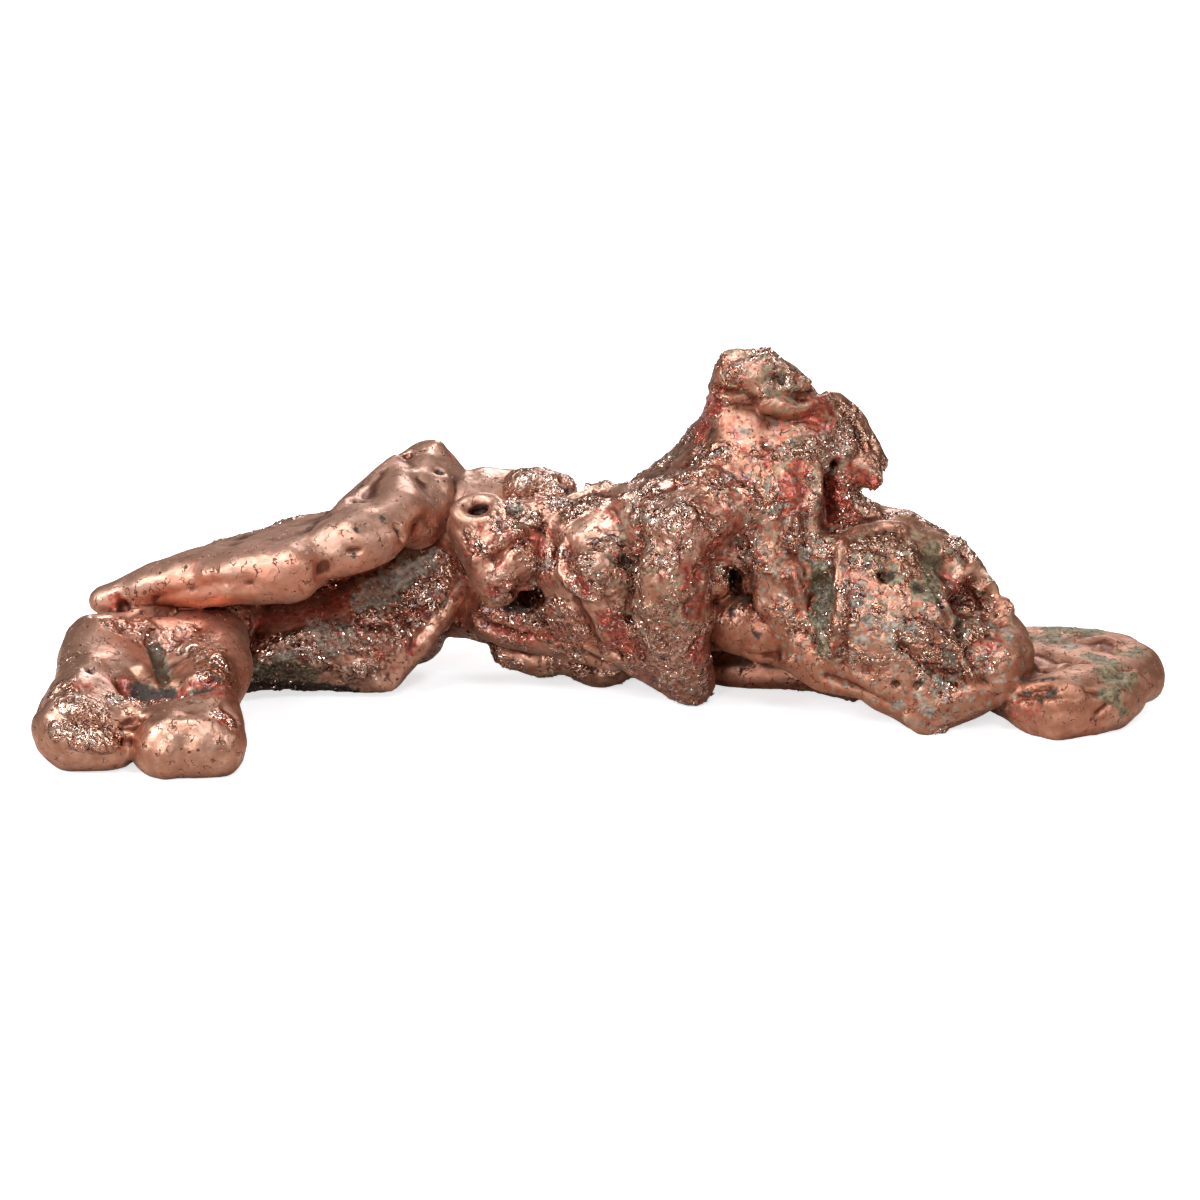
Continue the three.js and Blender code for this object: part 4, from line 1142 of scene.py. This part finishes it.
# How a layer breaks up at its edge: size of the pores in mm, softness, raggedness
RAGGED = {
    "bounce_glow": (1.6, 0.9, 2.8),
    "umber": (1.2, 0.6, 2.8),
    "cuprite": (0.8, 0.25, 2.3),
    "malachite": (0.7, 0.25, 2.8),
    "slate": (0.7, 0.25, 2.8),
    "black_and_shade": (0.4, 0.3, 1.4),
}
# Loose crusts: material name, shades, size of the mottling in mm, roughness, how metallic
CRUSTS = {
    "cuprite_grains": ("red_cuprite", CUPRITE, 0.5, 0.25, 0.5),
    "malachite_grains": ("green_malachite", MALACHITE, 0.5, 0.6, 0.0),
    "slate_grains": ("grey_slate", SLATE, 0.4, 0.5, 0.0),
}
# Crumpled foil: noise, its spacing against the folds', weight and bend
FOLDS = (("FBM", 1.0, 1.0, 1.6), ("FBM", 2.1, 0.28, 0.8), ("RIDGED_MULTIFRACTAL", 0.9, 0.10, 0.4))
MIDDLE = (0.5, 0.5, 0.5)
CELL_BEND = 0.7 * MM
CRUST_RELIEF = 0.05 * MM
COPPER_RELIEF = 0.48 * MM
COAT_ROUGHNESS = 0.08
MATTE_ROUGHNESS = 0.55
GROWN_ROUGHNESS = 0.7
SMOOTH_ROUGHNESS, TORN_ROUGHNESS = 0.40, 0.06


def facet_group():
    """Crystal facets: every cell of broken metal tilts its own way and has two chance values of its own."""
    tree, given, result = new_group(
        "broken facets", {"Per metre": 2600.0, "Tilt": 0.8},
        {"Normal": "NodeSocketVector", "Shade": "NodeSocketFloat", "Sort": "NodeSocketFloat"})
    coords = place_on(tree)
    warp = noise_node(tree, coords, given["Per metre"]).outputs["Color"]
    bend = vector_node(tree, "SCALE", A=vector_node(tree, "SUBTRACT", A=warp, B=MIDDLE), Scale=CELL_BEND)
    bent = vector_node(tree, "ADD", A=coords, B=bend)
    cells = add_node(tree, "ShaderNodeTexVoronoi", {"Vector": bent, "Scale": given["Per metre"]}).outputs
    tilt = vector_node(tree, "SUBTRACT", A=cells["Color"], B=MIDDLE)
    tilt = vector_node(tree, "SCALE", A=tilt, Scale=given["Tilt"])
    facing = add_node(tree, "ShaderNodeNewGeometry").outputs["Normal"]
    tilted = vector_node(tree, "NORMALIZE", A=vector_node(tree, "ADD", A=facing, B=tilt))
    chances = add_node(tree, "ShaderNodeSeparateColor", {"Color": cells["Color"]}).outputs
    link_in(tree, result["Normal"], tilted)
    link_in(tree, result["Shade"], chances["Red"])
    link_in(tree, result["Sort"], chances["Blue"])
    return tree


def tarnish_group():
    """Brown and rosy drifts over bare copper."""
    tree, given, result = new_group(
        "tarnish", {"Amount": 0.5}, {"Color": "NodeSocketColor", "Dull": "NodeSocketFloat"})
    coords = place_on(tree)
    drift = grade(tree, grain_noise(tree, coords, 5.0, 3.0), 0.35, 0.65)
    fine = grade(tree, grain_noise(tree, coords, 0.8, 4.0), 0.35, 0.70)
    fresh = mix_colour(tree, drift, *PLAIN_COPPER)
    browned = mix_colour(tree, fine, *BROWNED_COPPER)
    amount = math_node(tree, "MULTIPLY", fine, given["Amount"], clamp=True)
    link_in(tree, result["Color"], mix_colour(tree, amount, fresh, browned))
    link_in(tree, result["Dull"], amount)
    return tree


def crack_mask(tree, coords):
    """Hairline cracks, broken off here and there."""
    wave = grain_noise(tree, coords, 1.5, 4.0)
    line = math_node(tree, "ABSOLUTE", math_node(tree, "SUBTRACT", wave, 0.5))
    gaps = grade(tree, grain_noise(tree, coords, 0.9, 1.0), 0.48, 0.56)
    return times(tree, grade(tree, line, 0.016, 0.004), gaps)


def pinhole_mask(tree, coords):
    """Pinholes of several sizes, one at most to a cell of about a millimetre."""
    cells = add_node(tree, "ShaderNodeTexVoronoi", {"Vector": coords, "Scale": 1.0 / (0.95 * MM)}).outputs
    chance = add_node(tree, "ShaderNodeSeparateColor", {"Color": cells["Color"]}).outputs["Green"]
    wide = math_node(tree, "MULTIPLY_ADD", chance, 0.30, -0.10)
    inside = math_node(tree, "SUBTRACT", wide, cells["Distance"])
    return math_node(tree, "MULTIPLY", inside, 18.0, clamp=True)


def flaw_group():
    """Cracks and pinholes: where they are, and how deep."""
    tree, given, result = new_group(
        "cracks and pinholes", {"Cracks": 1.0, "Pinholes": 1.0},
        {"Mask": "NodeSocketFloat", "Height": "NodeSocketFloat"})
    coords = place_on(tree)
    cracks = times(tree, crack_mask(tree, coords), given["Cracks"])
    holes = times(tree, pinhole_mask(tree, coords), given["Pinholes"])
    mask = math_node(tree, "MAXIMUM", cracks, holes, clamp=True)
    link_in(tree, result["Mask"], mask)
    link_in(tree, result["Height"], times(tree, mask, -1.0))
    return tree


def foil_group():
    """The crumpled face of torn metal: round, winding folds with smaller ones on them."""
    tree, given, result = new_group("crumpled foil", {"Fold": 0.9}, {"Height": "NodeSocketFloat"})
    coords = place_on(tree)
    spacing = math_node(tree, "DIVIDE", 1.0 / MM, given["Fold"])
    height = 0.0
    for kind, closer, weight, bend in FOLDS:
        folds = noise_node(tree, coords, times(tree, spacing, closer), 0.6, bend, kind)
        height = math_node(tree, "ADD", height, times(tree, folds.outputs["Fac"], weight))
    link_in(tree, result["Height"], height)
    return tree


def mottle_group():
    """Light and dark mottling of a mineral crust, and its grainy relief."""
    tree, given, result = new_group(
        "mottled crust", {"Grain": 0.5}, {"Mottle": "NodeSocketFloat", "Height": "NodeSocketFloat"})
    coords = place_on(tree)
    coarse, fine = (
        noise_node(tree, coords, math_node(tree, "DIVIDE", closer / MM, given["Grain"]), 3.0).outputs["Fac"]
        for closer in (1.0, 2.6))
    link_in(tree, result["Mottle"], grade(tree, coarse, 0.36, 0.64))
    link_in(tree, result["Height"], fine)
    return tree


def ragged(tree, coords, layer):
    """A layer broken up at its edge, as a crust that sits in the metal's pores is."""
    size, softness, raggedness = RAGGED[layer]
    amount = layer_value(tree, layer)
    pores = grain_noise(tree, coords, size, 3.0)
    total = math_node(tree, "ADD", amount, math_node(tree, "MULTIPLY_ADD", pores, raggedness, -0.5 * raggedness))
    patch = grade(tree, total, 0.5 - softness, 0.5 + softness)
    return times(tree, patch, grade(tree, amount, 0.02, 0.15))


def new_material(name):
    """A material, its node tree and the sockets of its surface shader."""
    material = bpy.data.materials.new(name)
    material.use_nodes = True
    tree = material.node_tree
    return material, tree, tree.nodes["Principled BSDF"].inputs


def bump(tree, distance, height, **sockets):
    """The normal of a surface with the height pressed into it."""
    sockets.update(Distance=distance, Height=height)
    return add_node(tree, "ShaderNodeBump", sockets).outputs["Normal"]


def crust_material(name, shades, grain, roughness, metallic, mottle):
    """A mineral grown as loose grains: its two shades mottled together."""
    material, tree, surface = new_material(name)
    crust = place_group(tree, mottle, Grain=grain)
    uneven = mix_value(tree, crust["Height"], roughness - 0.1, roughness + 0.1)
    link_in(tree, surface["Base Color"], mix_colour(tree, crust["Mottle"], *shades))
    link_in(tree, surface["Roughness"], uneven)
    link_in(tree, surface["Normal"], bump(tree, CRUST_RELIEF, crust["Height"]))
    surface["Metallic"].default_value = metallic
    return material


def crystal_material(facets, tarnish):
    """Bright little copper crystals."""
    material, tree, surface = new_material("copper_crystal")
    metal = place_group(tree, tarnish, Amount=0.2)
    pale = mix_colour(tree, 0.45, metal["Color"], FRESH_COPPER)
    chips = place_group(tree, facets, Per_metre=5000.0, Tilt=0.12)
    shade = mix_value(tree, chips["Shade"], 0.7, 1.1)
    link_in(tree, surface["Base Color"], vector_node(tree, "SCALE", A=pale, Scale=shade))
    link_in(tree, surface["Roughness"], math_node(tree, "MULTIPLY_ADD", metal["Dull"], 0.2, 0.06))
    link_in(tree, surface["Normal"], chips["Normal"])
    surface["Metallic"].default_value = 1.0
    return material


def bare_colour(tree, coords, torn, metal, chips, holes):
    """The metal's colour: fresh on broken facets, brown in drifts, a painted reddish bounce glow on undersides
    and rims, and dark oxide with painted shade in hollows, cracks and pinholes.
    """
    shade = mix_value(tree, torn, 1.0, mix_value(tree, chips["Shade"], 0.5, 1.15))
    fresh = times(tree, grade(tree, chips["Sort"], 0.45, 0.7), torn)
    colour = mix_colour(tree, times(tree, fresh, 0.5), metal["Color"], FRESH_COPPER)
    colour = vector_node(tree, "SCALE", A=colour, Scale=shade)
    # The first tint here is painted reflected light, a reddish bounce glow; the umber is brown tarnish.
    for layer, strength, tint in (("bounce_glow", 0.55, BOUNCE_GLOW), ("umber", 0.75, UMBER)):
        colour = mix_colour(tree, times(tree, ragged(tree, coords, layer), strength), colour, tint)
    # Painted shade: darker towards the bottom of hollows, cracks and pinholes, in the dark oxide colour.
    deep = grade(tree, layer_value(tree, "hollow"), 0.04, 0.45)
    return mix_colour(tree, times(tree, highest(tree, deep, holes), 0.85), colour, DEEP_OXIDE_AND_SHADE)


def crust_masks(tree, coords, torn, chips):
    """Where the red, green and grey crusts and the black lie, with loose red and grey grains on torn metal; the
    black is partly painted shade.
    """
    drift = grain_noise(tree, coords, 2.4, 2.0)
    sort = math_node(tree, "MULTIPLY_ADD", drift, 0.9, chips["Sort"])
    red_grains = times(tree, times(tree, grade(tree, sort, 1.36, 1.40), torn), 0.7)
    grey_grains = times(tree, times(tree, grade(tree, sort, 0.54, 0.50), torn), 0.7)
    red = highest(tree, ragged(tree, coords, "cuprite"), red_grains)
    green = times(tree, ragged(tree, coords, "malachite"), 0.85)
    grey = highest(tree, times(tree, ragged(tree, coords, "slate"), 0.8), grey_grains)
    return red, green, grey, ragged(tree, coords, "black_and_shade")


def copper_material(facets, tarnish, flaws, foil, mottle):
    """The nugget's skin: copper from smooth to torn, with the mineral crusts grown on it."""
    material, tree, surface = new_material("bare_native_copper")
    coords = place_on(tree)
    matte = layer_value(tree, "matte")
    patches = grade(tree, grain_noise(tree, coords, 1.3, 3.0), 0.38, 0.52)
    torn = times(tree, layer_value(tree, "torn"), mix_value(tree, patches, 0.3, 1.0))
    torn = times(tree, torn, mix_value(tree, matte, 1.0, 0.3))
    metal = place_group(tree, tarnish, Amount=mix_value(tree, torn, 0.5, 0.7))
    chips = place_group(tree, facets, Per_metre=2500.0, Tilt=mix_value(tree, torn, 0.05, 0.45))
    marks = place_group(tree, flaws, Cracks=1.0, Pinholes=1.0)
    folds = place_group(tree, foil, Fold=1.05)
    mottling = place_group(tree, mottle, Grain=0.6)["Mottle"]

    red, green, grey, black = crust_masks(tree, coords, torn, chips)
    # Painted shade: the green crust turns to its dark shade in hollows.
    green_mottle_and_shade = times(tree, mottling, grade(tree, layer_value(tree, "hollow"), 0.7, 0.0))
    colour = bare_colour(tree, coords, torn, metal, chips, marks["Mask"])
    for mask, amount, shades in ((red, mottling, CUPRITE), (green, green_mottle_and_shade, MALACHITE), (grey, mottling, SLATE)):
        colour = mix_colour(tree, mask, colour, mix_colour(tree, amount, *shades))
    # The black is partly black oxide, partly painted shade in holes and under edges.
    link_in(tree, surface["Base Color"], mix_colour(tree, black, colour, BLACK_AND_SHADE))

    grown = highest(tree, highest(tree, green, grey), black)
    crusted = highest(tree, grown, times(tree, red, 0.45))
    link_in(tree, surface["Metallic"], rest_of(tree, crusted))
    polish = mix_value(tree, torn, SMOOTH_ROUGHNESS, TORN_ROUGHNESS)
    polish = math_node(tree, "MULTIPLY_ADD", metal["Dull"], 0.10, polish)
    polish = mix_value(tree, matte, polish, MATTE_ROUGHNESS)
    link_in(tree, surface["Roughness"], mix_value(tree, grown, polish, GROWN_ROUGHNESS))
    glaze = times(tree, times(tree, highest(tree, torn, red), 0.5), rest_of(tree, grown))
    link_in(tree, surface["Coat Weight"], glaze)
    surface["Coat Roughness"].default_value = COAT_ROUGHNESS

    creased = mix_value(tree, grade(tree, torn, 0.10, 0.85), 0.02, 0.95)
    grit = times(tree, grain_noise(tree, coords, 0.5, 2.0), mix_value(tree, torn, 0.08, 0.06))
    height = math_node(tree, "ADD", times(tree, folds["Height"], creased), grit)
    height = math_node(tree, "MULTIPLY_ADD", marks["Height"], 0.22, height)
    link_in(tree, surface["Normal"], bump(tree, COPPER_RELIEF, height, Normal=chips["Normal"]))
    return material


# ---------------------------------------------------------------- assembly

make_camera()
make_studio()
make_table()
mark_nugget()

broken_facets = facet_group()
copper_tarnish = tarnish_group()
hairline_flaws = flaw_group()
crumpled_foil = foil_group()
mottled_crust = mottle_group()

nugget_skin = make_skin()
loose = {name: strew(name, nugget_skin, *grain) for name, grain in GRAINS.items()}

nugget_skin.data.materials.append(
    copper_material(broken_facets, copper_tarnish, hairline_flaws, crumpled_foil, mottled_crust))
loose["copper_crystals"].data.materials.append(crystal_material(broken_facets, copper_tarnish))
for name, crust in CRUSTS.items():
    loose[name].data.materials.append(crust_material(*crust, mottled_crust))
for piece in (nugget_skin, *loose.values()):
    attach(piece, ROOT)
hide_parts(NUGGET)
